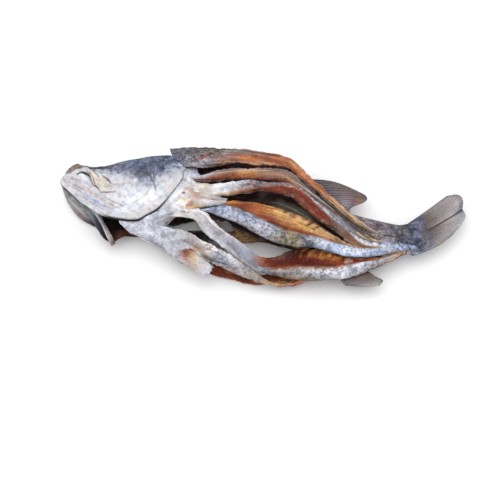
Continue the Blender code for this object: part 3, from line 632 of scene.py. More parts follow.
flankStrip = {
    "seed": 41, "thickness": "5, .1 6, .2 10, .4 10, .55 7, .7 6, 1 5", "film": 0.2, "patchy": ".4",
    "stations": [
        ((-117, 5, 47), (-117, -1, 48), (-117, -12, 46)), ((-81, 6, 45), (-80, 0, 47), (-82, -7, 45)),
        ((-52, 11, 42), (-50, 1, 46), (-57, -15, 43)), ((-30, 14, 39), (-33, -4, 45), (-35, -24, 41)),
        ((-8, 13, 36), (-14, -14, 44), (-16, -35, 40)), ((14, 9, 33), (5, -25, 43), (2, -46, 39)),
        ((39, 1, 31), (27, -36, 42), (22, -54, 38)), ((61, -9, 30), (51, -41, 41), (47, -60, 37)),
        ((82, -23, 30), (75, -47, 40), (71, -60, 36)), ((103, -39, 30), (99, -54, 38), (95, -67, 34)),
        ((122, -51, 30), (121, -59, 36), (120, -71, 32)),
        ((143, -55, 30), (142, -61, 34), (143, -70, 30)),
        ((166, -50, 29), (167, -57, 32), (170, -64, 27)),
        ((184, -50, 28), (186, -54, 29), (188, -58, 27))],
    "tints": (
        (0, "pearl, .1 tan, .17 copper, .25 copper, .33 clay, .4 taupe, .5 umber, .6 copper, .8 copper, "
            "1 lavender"),
        (0.2, "pearl, .1 cream, .16 amber, .22 gold, .28 amber, .34 gold, .4 honey, .5 honey, "
              ".58 amber, .64 honey, .72 straw, .8 tan, .9 copper, 1 lavender"),
        (0.55, "pearl, .1 cream, .15 gold, .2 amber, .26 rust, .31 copper, .36 amber, .42 honey, "
               ".5 honey, .58 straw, .67 cream, .75 cream, .83 tan, .9 silver"),
        (0.85, "pearl, .1 tan, .17 copper, .25 rust, .33 copper, .4 rust, .46 copper, .52 gold, "
               ".58 honey, .64 gold, .7 clay, .78 tan, .86 silver"),
        (0.98, "pearl, .1 tan, .17 clay, .25 umber, .33 rust, .4 umber, .5 rust, .6 rust, .7 clay, "
               ".8 silver"),
        (1.15, "silver, .12 denim, .2 mist, .25 ash, .33 mist, .42 lavender, .47 olive, .53 olive, "
               ".57 slate, .62 lavender, .7 haze, .8 silver"),
        (1.6, "lavender, .12 haze, .2 lavender, .27 haze, .35 lavender, .42 silver, .46 ash, .49 olive, "
              ".53 olive, .57 steel, .62 silver, .7 haze, .78 frost, .86 haze"),
        (2.0, "slate, .17 mist, .3 ash, .42 steel, .47 moss, .53 olive, .58 slate, .66 mist, .8 haze, "
              "1 lavender"),
        (2.3, "slate, .12 soot")) + paintedShadeUnder[1:],
    "flesh": (
        (0, "0, .1 .3, .2 1, .9 1, 1 0"), (0.95, "0, .1 .3, .18 1, .8 1, .9 0"), (1.1, "0"),
        (2.1, "0")) + fleshUnder,
    "scales": (
        (0.9, "0"), (1.1, ".3, .1 .7, .6 .75, .72 .6"), (2, ".3, .1 .7, .6 .75, .72 .6"), (2.4, "0")),
    "marks": (
        line(((-92, -4), (-76, -1.5), (-60, 1.5)), 2.0, "ink", rise=-1.0),
        line(((-30, 3), (-14, -5), (5, -17), (27, -29), (50, -36.5), (70, -43)), 4.5, "wine", 0.75,
             core=0.0, ragged=1.0, rise=-0.5),
        line(((-34, 12), (-20, 12), (-8, 10)), 1.6, "moss", 0.8, ragged=0.8),
        spot(59, -13, 11, 3, "wine", 38, 0.95, ragged=0.7),
        spot(68, -18, 11, 2.6, "wine", 36, 0.95, ragged=0.7),
        spot(77, -24, 9, 2.4, "wine", 34, 0.9, ragged=0.7), spot(44, -4, 10, 4.5, "rose", 35, 0.8),
        spot(18, 5, 9, 2.6, "copper", 30, 0.8, ragged=0.9),
        spot(34, 1, 8, 2, "rust", 34, 0.8, ragged=0.7),
        line(((-26, 0), (-10, -9), (8, -21)), 1.4, "peach", 0.5, core=0.0, ragged=0.8),
        spot(46, -50, 9, 5, "ink", -20, 0.55, ragged=1.6),
        spot(62, -53, 7, 5, "soot", -20, 0.5, ragged=1.8),
        spot(22, -46, 12, 6, "olive", -25, 0.6, core=0.1)),
    "myomeres": (
        {"start": 0.4, "end": 0.8, "count": 9, "lean": 1.2, "tip": 1.0, "width": 0.34, "low": -0.1,
         "high": 0.42, "blend": 0.62, "colour": "rust", "depth": 0.6},
        {"start": 0.4, "end": 0.78, "count": 11, "lean": 1.3, "tip": 1.0, "width": 0.25, "shift": 0.5,
         "wobble": 0.4, "low": -0.1, "high": 0.85, "blend": 0.5, "colour": "straw", "depth": -0.5},
        {"start": 0.2, "end": 0.9, "count": 26, "lean": 1.4, "width": 0.2, "low": 0.3, "high": 0.9,
         "blend": 0.22, "colour": "copper", "depth": 0.25})}

lowerStrip = {
    "seed": 53, "thickness": ".5 6, 1 5", "ragged": 0.9, "patchy": ".16, .4 .2, .5 .55, 1 .35",
    "cracks": 0.5, "film": 0.0, "crumbs": 0.25, "relief": ".4 .6, .5 1",
    "stations": [
        ((-128, 2, 46), (-128, -1, 47), (-139, -16, 45)), ((-95, -1, 46), (-98, -5, 47), (-110, -16, 44)),
        ((-76, -8, 44), (-79, -12, 46), (-92, -20, 43)), ((-65, -22, 42), (-68, -26, 44), (-81, -37, 41)),
        ((-48, -38, 40), (-50, -42, 42), (-65, -50, 38)),
        ((-26, -53, 37), (-34, -59, 40), (-47, -63, 35)),
        ((-11, -65, 34), (-19, -76, 37), (-29, -77, 32)), ((4, -70, 30), (-3, -89, 35), (-9, -90, 30)),
        ((19, -67, 27), (17, -92, 34), (11, -96, 28)), ((41, -55, 24), (39, -91, 34), (34, -102, 27)),
        ((62, -52, 23), (61, -90, 34), (58, -105, 26)), ((87, -57, 24), (85, -91, 33), (85, -103, 26)),
        ((111, -64, 25), (109, -86, 32), (109, -102, 26)),
        ((135, -68, 26), (131, -80, 31), (128, -96, 26)),
        ((155, -68, 26), (154, -75, 30), (154, -83, 25)),
        ((173, -63, 26), (172, -68, 28.5), (171, -75, 25)),
        ((189, -57, 25), (188, -60, 27), (187, -65, 25)),
        ((204, -52, 25), (203, -54, 26), (202, -57, 25))],
    "tints": (
        (0, ".1 pearl, .15 cream, .2 pearl, .27 lavender, .33 ash, .37 blush, .42 copper, .47 umber, "
            ".56 wine, .63 rust, .7 rust, .78 copper, .86 clay, 1 tan"),
        (0.3, "pearl, .1 snow, .16 cream, .22 silver, .28 silver, .33 mist, .36 lavender, .39 rose, "
              ".43 umber, .49 taupe, .545 soot, .58 wine, .63 amber, .7 copper, .76 blush, .82 clay, 1 tan"),
        (0.7, "pearl, .12 frost, .24 frost, .29 silver, .33 mist, .36 steel, .39 clay, .425 wine, "
              ".48 blood, .56 blood, .62 wine, .68 copper, .74 wine, .8 copper, .86 tan"),
        (0.95, "pearl, .12 snow, .2 frost, .27 silver, .31 haze, .34 mist, .38 mauve, .42 rust, "
               ".48 wine, .56 blood, .63 blood, .7 wine, .76 rust, .82 copper, .9 taupe, 1 tan"),
        (1.15, "pearl, .1 snow, .18 frost, .24 silver, .3 lavender, .4 steel, .47 clay, .53 clay, "
               ".6 tan, .7 blush, .78 silver, .85 ash, .92 clay"),
        (1.5, "pearl, .13 silver, .2 lavender, .3 mist, .4 steel, .47 ash, .53 ash, .6 silver, "
              ".67 frost, .78 silver, .86 lavender, .93 clay"),
        (2.0, "bone, .2 silver, .27 silver, .4 steel, .5 taupe, .6 olive, .7 silver, .8 ash, .9 tan, "
              "1 clay"),
        (2.4, "ash, .2 slate, .5 umber")) + paintedShadeUnder,
    "flesh": (
        (0, ".2, .1 .5, .34 .5, .4 .8, .44 1, .95 1, 1 0"),
        (0.95, ".2, .1 .5, .34 .5, .39 .7, .44 1, .9 1, 1 0"), (1.1, ".2, .1 .5, .36 .5, .44 0"),
        (2.1, ".2, .1 .4, .36 .4, .44 0")) + fleshUnder,
    "scales": (
        (0.9, "0, .3 .1, .4 0"), (1.1, "0, .15 .2, .36 .3, .46 .65, 1 .7"),
        (2, "0, .15 .2, .36 .4, .46 .7"), (2.4, "0")),
    "myomeres": (
        {"start": 0.5, "end": 0.82, "count": 27, "lean": 2.4, "tip": 0.8, "bend": 1.8, "width": 0.2,
         "wobble": 0.6, "low": 0.0, "high": 0.85, "blend": 0.6, "colour": "blood", "depth": 0.7},
        {"start": 0.53, "end": 0.74, "count": 7, "lean": 1.4, "tip": 0.85, "bend": 1.5, "width": 0.24,
         "wobble": 0.5, "low": 0.0, "high": 0.66, "blend": 0.9, "colour": "gold", "depth": -1.0}),
    "marks": (
        line(((-88, -9), (-72, -22), (-56, -38), (-36, -54)), 1.0, "pebble", 0.4, core=0.0, ragged=0.8),
        line(((-78, -6), (-66, -20), (-54, -33)), 1.6, "straw", 0.5, core=0.0, ragged=1.0),
        line(((-66, -38), (-50, -49), (-34, -64), (-18, -78)), 1.0, "slate", 0.5, core=0.0, ragged=0.8),
        line(((-44, -44), (-28, -56), (-14, -70)), 1.2, "blush", 0.6, core=0.0, ragged=0.8),
        line(((-56, -48), (-40, -60), (-22, -77), (-6, -88)), 1.4, "pebble", 0.5, core=0.0, ragged=0.9),
        spot(118, -75, 11, 6, "blush", -8, 0.8, core=0.25, ragged=0.9, rise=0.4),
        spot(55, -61, 10, 6, "soot", 10, 0.75, ragged=1.4),
        spot(71, -65, 7, 4, "amber", 40, 0.8, ragged=1.2),
        spot(85, -66, 8, 4, "gold", 40, 0.6, ragged=1.2),
        spot(99, -69, 8, 4, "amber", 30, 0.7, ragged=1.2),
        line(((36, -78), (60, -82), (96, -83)), 4.5, "blood", 0.9, core=0.0, ragged=0.7),
        line(((-4, -80), (20, -78), (50, -74)), 1.0, "umber", 0.7, rise=-0.6))}

bellyStrip = {
    "seed": 67, "thickness": ".5 6, 1 4", "crown": 0.14, "ragged": 1.0, "patchy": ".3, 1 .35",
    "relief": ".8",
    "stations": [
        ((-173, -25, 44), (-180, -33, 38)), ((-155, -21, 45), (-161, -45, 34)),
        ((-138, -27, 44), (-141, -53, 31)), ((-122, -33, 42), (-124, -66, 27)),
        ((-103, -35, 40), (-107, -78, 25)), ((-85, -46, 38), (-86, -78, 27)),
        ((-68, -54, 36), (-72, -80, 28)), ((-52, -62, 33), (-57, -83, 26)),
        ((-33, -73, 29), (-39, -90, 23)), ((-15, -85, 25), (-21, -97, 20)),
        ((-1, -95, 21), (-6, -102, 17)), ((13, -100, 18), (10, -105, 15)),
        ((32, -101, 17), (32, -106, 14)), ((51, -96, 17), (52, -102, 14)), ((75, -88, 18), (75, -94, 15))],
    "tints": (
        (0, ".2 silver, .3 bone, .45 cream, .6 tan, .75 tan, .85 copper, 1 ash"),
        (0.4, ".21 silver, .3 ash, .36 pearl, .43 bone, .5 silver, .6 pearl, .7 cream, .8 copper, "
              ".9 rust, 1 ash"),
        (1.0, ".29 silver, .34 ash, .38 pearl, .45 silver, .55 silver, .64 ash, .75 tan, .82 amber, "
              ".9 copper, 1 ash"),
        (1.6, ".29 silver, .35 tan, .42 silver, .5 steel, .6 ash, .7 ash, .8 cream, .9 copper, 1 ash"),
        (2.1, "silver, .1 steel, .2 lavender, .3 ash, .4 cream, .5 ash, .6 ash, .7 olive, .8 tan, "
              ".9 rust, 1 ash"),
        (2.6, "steel, .3 tan, .5 umber")) + paintedShadeUnder,
    "flesh": ((0, ".7 0, .8 1, 1 .5"), (2.1, "0, .25 .2, .32 .6, .4 .1, .7 .2, .8 1, 1 .5")) + fleshUnder,
    "scales": (
        (0, ".2, .25 .35, .32 .3, .45 .5, .7 .4, .8 0"),
        (2.1, ".2, .22 .35, .3 .3, .45 .55, .7 .45, .8 0"), (2.6, "0")),
    "marks": (
        spot(-104, -50, 9, 3, "clay", -30, 0.8, ragged=0.8, rise=-0.4),
        spot(-110, -64, 9, 4, "rose", -35, 0.7, rise=-0.4), spot(-92, -60, 12, 4, "peach", -30, 0.7),
        spot(-87, -60, 13, 4.5, "clay", -25, 0.75), spot(-68, -64, 15, 5, "blush", -30, 0.6),
        # painted shade in the crease, along a sunk groove
        line(((-74, -74), (-60, -77), (-46, -81)), 1.7, "storm", 0.9, ragged=0.6, rise=-0.7),
        line(((-80, -58), (-60, -66), (-46, -74)), 1.2, "steel", rise=-0.7))}

shoulderSkin = {
    "seed": 61, "thickness": "5", "ragged": 1.6, "patchy": ".25", "step": 0.9,
    "perSide": (50, 50, 5, 12, 12, 5),
    "stations": [
        ((-104, 88, 34), (-114, 86, 37), (-134, 82, 38)), ((-96, 76, 40), (-110, 74, 43), (-132, 72, 44)),
        ((-88, 60, 42), (-106, 60, 48.5), (-130, 58, 48)),
        ((-84, 44, 43), (-103, 43, 50), (-130, 42, 48)),
        ((-80, 28, 43), (-104, 27, 50.5), (-134, 26, 49)),
        ((-84, 12, 43), (-110, 12, 51), (-142, 10, 50)),
        ((-94, -1, 43), (-116, -2, 51), (-150, -4, 50.5)),
        ((-110, -10, 43.5), (-128, -13, 51.5), (-164, -12, 51)),
        ((-132, -19, 44), (-148, -23, 51.5), (-184, -17, 50.5)),
        ((-150, -31, 42), (-162, -29, 49), (-194, -24, 49)),
        ((-158, -44, 33), (-166, -41, 40), (-178, -37, 36))],
    "tints": (
        (0, "slate, .1 steel, .2 lavender, .3 silver, .45 bone, .6 pearl, .7 pearl, .8 silver"),
        (0.6, ".1 slate, .18 steel, .26 silver, .36 pearl, .45 blush, .52 bone, .62 pearl, .8 silver"),
        (1.2, ".1 slate, .18 steel, .26 silver, .36 pearl, .6 pearl, .7 silver"),
        (2, "ink, .2 steel, .4 silver"), (4, "slate"),
        (6, "slate, .1 steel, .2 lavender, .3 silver, .45 bone, .6 pearl, 1 silver")),
    "flesh": "0",
    "scales": ".6, .2 .3, .35 .15, .6 .15, .85 .4, 1 .5",
    "marks": (
        spot(-107, 19, 3.4, 2.4, "slate", core=0.25, ragged=0.8, rise=-0.8),
        spot(-98, 12, 14, 8, "peach", 10, 0.5), spot(-99, 24, 8, 4, "clay", -30, 0.5, ragged=1.2),
        line(((-104, 50), (-106, 38), (-112, 27)), 3.5, "steel", 0.4, ragged=0.6),
        line(((-107, 16), (-110, 4), (-114, -6)), 2.2, "blush", 0.4, ragged=0.9),
        line(((-150, -16), (-138, -18), (-124, -14)), 1.2, "ash", 0.5, rise=-0.6),
        line(((-103, -5), (-96, -4), (-88, -2)), 1.3, "olive", 0.9, rise=-0.8),
        spot(-108, 65, 7, 3, "soot", 12, 0.9, core=0.25, ragged=0.5, rise=-1.2))}

pectoralFan = {
    "seed": 47, "thickness": "5, .6 4, 1 1.5", "crown": 0.16, "ragged": 0.9, "relief": ".5, 1 .9",
    "step": 0.7, "patchy": ".1, 1 .2", "cracks": 0.25, "crumbs": 0.2, "film": 0.1,
    "material": finMaterial, "perSide": (50, 50, 5, 10, 10, 5),
    "stations": [
        ((-122, 30, 43.5), (-122, -4, 44.5)), ((-110, 28, 47), (-110, -5, 47)),
        ((-98, 25, 48), (-98, -4.5, 47.5)), ((-86, 22, 48.5), (-86, -3, 47.5)),
        ((-76, 19.5, 48.5), (-76, -1.5, 47)), ((-66, 17, 48), (-66, 0, 46.5)),
        ((-56, 15, 47), (-57, 2, 45.5)), ((-47, 13, 46), (-50, 5, 45))],
    "tints": (
        (0, "silver, .2 blush, .4 pearl, .6 bone, 1 frost"),
        (0.4, "silver, .2 blush, .4 cream, .55 snow, 1 silver"),
        (0.8, ".2 pearl, .35 blush, .5 bone, .75 pearl, 1 silver"),
        (1.1, "pearl, .2 silver, .4 blush, .55 bone, .7 tan, .8 ash, 1 fog"),
        (1.5, "pearl, .2 cream, .4 pearl, .6 snow, .8 frost, 1 silver"),
        (1.85, "pearl, .2 bone, .3 clay, .45 cream, .6 silver"),
        # the soot on the underside is painted shade
        (2.1, "pearl, .3 straw, .5 olive, .7 moss, 1 pebble"), (3, "soot"), (5.4, "umber")),
    "flesh": "0, .2 .2, .4 1",
    "marks": (
        spot(-88, 18, 15, 8, "peach", -10, 0.55, ragged=1.4),
        spot(-97, 5, 7, 4, "rose", 30, 0.6, ragged=1.4), spot(-82, 10, 9, 4, "clay", 5, 0.4, ragged=1.4),
        line(((-84, 14), (-70, 12), (-54, 10)), 1.0, "tan", 0.5, core=0.0),
        line(((-96, -2), (-86, -2), (-78, -1)), 1.4, "straw", 0.7))}

# near-black sheet along the flank strip's lower edge: partly the dark lining of the body wall, partly
# painted shade so the gap beside it reads as shadow
flankShadeLining = {
    "seed": 83, "thickness": "1.5, 1 2", "crown": 0.0, "ragged": 0.9, "step": 0.9, "relief": ".6",
    "material": innerMaterial, "perSide": (20, 20, 4, 8, 8, 4),
    "stations": [
        ((-82, -1, 42), (-80, -5, 40)), ((-72, -2, 41), (-71, -10.5, 38)),
        ((-64, -5, 40), (-63, -15, 37)), ((-56, -8, 39), (-54, -18, 36)),
        ((-48, -10, 38), (-48, -17, 36)), ((-40, -15, 37), (-42, -23, 35)),
        ((-33, -20, 37), (-35, -31.5, 34)), ((-18, -30, 36), (-19, -38, 34)),
        ((-10, -35, 36), (-10, -42, 34)), ((0, -41, 35), (0, -47, 33)), ((14, -46, 34), (13.5, -52, 32)),
        ((33, -51, 33), (33, -57, 31)), ((52, -54, 33), (52, -58.5, 31))],
    "tints": (
        (0, "soot"), (1.6, "soot, 1 pitch"), (2, "umber, .4 soot, .6 umber, 1 soot"), (3, "soot")),
    "flesh": ".5"}

nearStrips = {"flankShadeLining": flankShadeLining, "shoulderSkin": shoulderSkin, "pectoralFan": pectoralFan,
              "backStrip": backStrip, "upperStrip": upperStrip, "middleStrip": middleStrip,
              "flankStrip": flankStrip, "lowerStrip": lowerStrip, "bellyStrip": bellyStrip}
for name, spec in nearStrips.items():
    makeStrip(name, spec)
print("near strips made")

# a dark membrane inside the throat; its soot and pitch are partly the membrane's own colour and partly
# painted shade of the gill cavity
makeStrip("throatMembrane", {
    "seed": 59, "thickness": "1, .2 2", "crown": 0.0, "ragged": 1.2, "relief": ".6, 1 1", "step": 0.9,
    "material": innerMaterial,
    "stations": [
        ((-264, 38, 23), (-262, 34, 22)), ((-255, 28, 25), (-253, 20, 21)),
        ((-245, 18, 25), (-243, 6, 20)), ((-233, 12, 24), (-233, -8, 20)),
        ((-222, 6, 24), (-223, -26, 21)), ((-213, 0, 24), (-213, -39, 21)),
        ((-205, -4, 24), (-205, -43, 21)), ((-196, -8, 24), (-196, -38, 21)),
        ((-186, -12, 24), (-186, -31, 21)), ((-172, -14, 24), (-172, -27, 22))],
    "tints": (
        (0, ".2 lichen, .4 slate, .5 pitch"), (1, ".25 lichen, .4 teal, .5 soot, .75 pitch"),
        (1.7, ".25 lichen, .38 ink, .5 soot, .7 soot, .82 umber, 1 soot"),
        (2.1, "bone, .25 ash, .4 ink, .6 soot, .82 umber, 1 soot"), (2.6, "soot"), (5, "soot"),
        (6, "lichen, .3 slate, .5 pitch")),
    "flesh": "0"})

farTints = (
    (0, ".3 umber, .6 rust, 1 umber"), (1, "umber, .3 rust, .5 umber, .8 copper, 1 umber"),
    (2, "soot, .5 umber"), (3, "steel, .5 slate, 1 steel"), (5, "slate, .5 steel"),
    (6, ".3 umber, .6 rust, 1 umber"))
farFlesh = ((2, "1"), (2.6, "0"), (5.4, "0"), (6, "1"))
farScales = ((2.2, "0"), (2.8, "1"), (5.2, "1"), (5.8, "0"))
farStations = {
    "farBackStrip": [
        ((-145, 100, 14), (-141, 78, 10)), ((-102, 109, 10), (-101, 80, 8)),
        ((-56, 111, 9), (-56, 85, 6)), ((-8, 108, 9), (-9, 81, 6)), ((32, 98, 10), (23, 77, 6)),
        ((58, 76, 10), (41, 60, 6)), ((90, 37, 11), (75, 29, 8)), ((123, 3, 13), (112, -6, 10)),
        ((160, -24, 15), (151, -33, 12))],
    "farMiddleStrip": [
        ((-144, 71, 8), (-143, 49, 6)), ((-94, 70, 5), (-94, 43, 4)), ((-44, 73, 5), (-44, 47, 4)),
        ((1, 66, 5), (-2, 40, 4)), ((41, 53, 5), (28, 30, 4)), ((75, 22, 6), (58, 4, 4)),
        ((109, -8, 8), (92, -23, 6)), ((151, -39, 14), (140, -48, 12))],
    "farFlankStrip": [
        ((-157, 34, 8), (-155, 2, 6)), ((-137, 28, 7), (-136, -5, 6)), ((-123, 26, 6), (-122, -7, 6)),
        ((-109, 22, 6), (-108, -4, 6)), ((-92, 17, 6), (-93, 0, 5)), ((-75, 10, 6), (-79, -10, 5)),
        ((-57, -12, 6), (-57, -39, 5)), ((-43, -17, 7), (-36, -38, 5)), ((-33, -9, 7), (-24, -34, 5)),
        ((-14, -12, 8), (-10, -34, 5)), ((6, -20, 8), (6, -34, 5)), ((25, -28, 8), (25, -38, 6)),
        ((44, -34, 8), (46, -47, 6)), ((80, -35, 10), (79, -56, 7)), ((121, -45, 13), (120, -62, 10)),
        ((158, -48, 18), (158, -60, 15))],
    "farBellyStrip": [
        ((-185, -1, 14), (-185, -16, 12)), ((-155, -10, 10), (-160, -28, 8)),
        ((-124, -16, 8), (-129, -47, 6)), ((-101, -15, 7), (-98, -64, 5)), ((-81, -15, 7), (-84, -73, 5)),
        ((-66, -30, 7), (-67, -84, 4)), ((-48, -49, 7), (-45, -90, 4)), ((-26, -70, 7), (-25, -96, 4)),
        ((-7, -86, 8), (-7, -99, 4)), ((13, -81, 8), (13, -96, 5)), ((41, -72, 9), (40, -94, 6)),
        ((76, -67, 10), (76, -91, 7)), ((113, -65, 12), (112, -88, 9)), ((147, -60, 17), (147, -71, 14)),
        ((174, -54, 20), (174, -60, 18))]}
farTintsOf = {
    "farFlankStrip": (
        (0, ".3 soot, .38 umber, .45 rust, .55 clay, .7 taupe, 1 umber"),
        (0.8, ".33 soot, .39 copper, .45 tan, .52 straw, .6 tan, .7 taupe, 1 umber"),
        (1.5, ".33 soot, .39 rose, .45 copper, .52 straw, .62 tan, .7 umber"),
        (2, ".33 soot, .42 umber, .5 copper, .6 clay, .75 umber")) + farTints[3:],
    "farBellyStrip": (
        # the soot and ink near the front are painted shade, seen through the gap between the near lower and
        # belly strips
        (0, ".28 soot, .36 ink, .5 umber, .7 rust, 1 umber"),
        (0.7, ".25 soot, .3 ink, .38 slate, .46 slate, .55 umber, .7 rust, 1 umber"),
        (1.3, ".25 umber, .4 wine, .5 blood, .6 wine, .7 rust, .85 wine, 1 umber"),
        (1.8, "umber, .25 wine, .4 rust, .5 blood, .6 copper, .7 rust, .85 rust, 1 umber"),
        (2.2, "umber, .4 rust, .6 copper, .7 amber, 1 umber")) + farTints[3:]}
farMarks = (
    spot(-40, -20, 8, 5, "rust", -20, 0.8, ragged=1.4),
    spot(-22, -20, 8, 5, "straw", -20, 0.7, ragged=1.4),
    line(((-50, -26), (-34, -30), (-14, -31)), 1.6, "straw", 0.6, ragged=1.0),
    line(((-46, -35), (-30, -37), (-8, -36)), 1.4, "rust", 0.7, ragged=1.0),
    spot(-66, -40, 19, 9, "mist", -32, core=0.3, ragged=0.8), spot(-50, -79, 15, 4, "amber", -18, 0.85),
    # painted shadow: a black band on the far strips, seen in the gap between the near lower and belly strips
    line(((-68, -68), (-48, -75), (-24, -86)), 3.4, "pitch", 0.85, ragged=0.7))
for number, (name, stations) in enumerate(farStations.items()):
    makeStrip(name, {"stations": stations, "marks": farMarks, "seed": 71 + 13 * number, "thickness": "5",
                     "ragged": 0.6, "tints": farTintsOf.get(name, farTints), "flesh": farFlesh,
                     "scales": farScales, "perSide": (18, 18, 5, 16, 16, 5), "relief": ".7", "crumbs": 0.0})
makeStrip("backbone", {
    "stations": [
        ((-157, 81, 24), (-154, 5, 24)), ((-121, 94, 20), (-119, 14, 20)), ((-80, 106, 18), (-77, 7, 18)),
        ((-57, 106, 17), (-56, 0, 16)), ((-34, 105, 17), (-33, -8, 15)), ((6, 98, 17), (3, -37, 15)),
        ((35, 86, 17), (36, -47, 15)), ((69, 56, 18), (57, -51, 16)), ((102, 21, 19), (86, -56, 17)),
        ((130, -1, 21), (119, -62, 19)), ((163, -12, 23), (160, -64, 21))],
    "seed": 131, "thickness": "9", "crown": 0.02, "step": 1.6, "perSide": (30, 30, 5, 14, 14, 5),
    "material": innerMaterial, "relief": "1.6",
    # near black: partly the dark dried membrane over the backbone, partly painted shade so the gaps between
    # the strips read as deep shadow
    "tints": (
        (0, "soot"), (3, "soot, 1 umber"), (6, "soot")),
    "flesh": ".6",
    "marks": (
        spot(46, 7, 46, 13, "moss", -33, 0.9, core=0.5, ragged=0.15, rise=2.5),
        line(((14, 24), (40, 14), (70, -8), (90, -24)), 1.6, "ash", 0.6, rise=0.8),
        line(((10, 18), (36, 6), (66, -14)), 1.3, "olive", 0.6, rise=0.8))})
print("far strips and backbone made")


def signedInside(x, y, outline):
    # distance in mm from each point to a closed outline in plan, positive inside it
    ring = np.array(list(outline) + [outline[0]], float)
    best, inside = np.full(x.shape, 1e9), np.zeros(x.shape, bool)
    for start, end in zip(ring[:-1], ring[1:]):
        best = np.minimum(best, toSegment(x, y, start, end)[0])
        rise = end[1] - start[1] if end[1] != start[1] else 1e-9
        edgeX = start[0] + (y - start[1]) / rise * (end[0] - start[0])
        inside ^= ((start[1] > y) != (end[1] > y)) & (x < edgeX)
    return np.where(inside, best, -best)


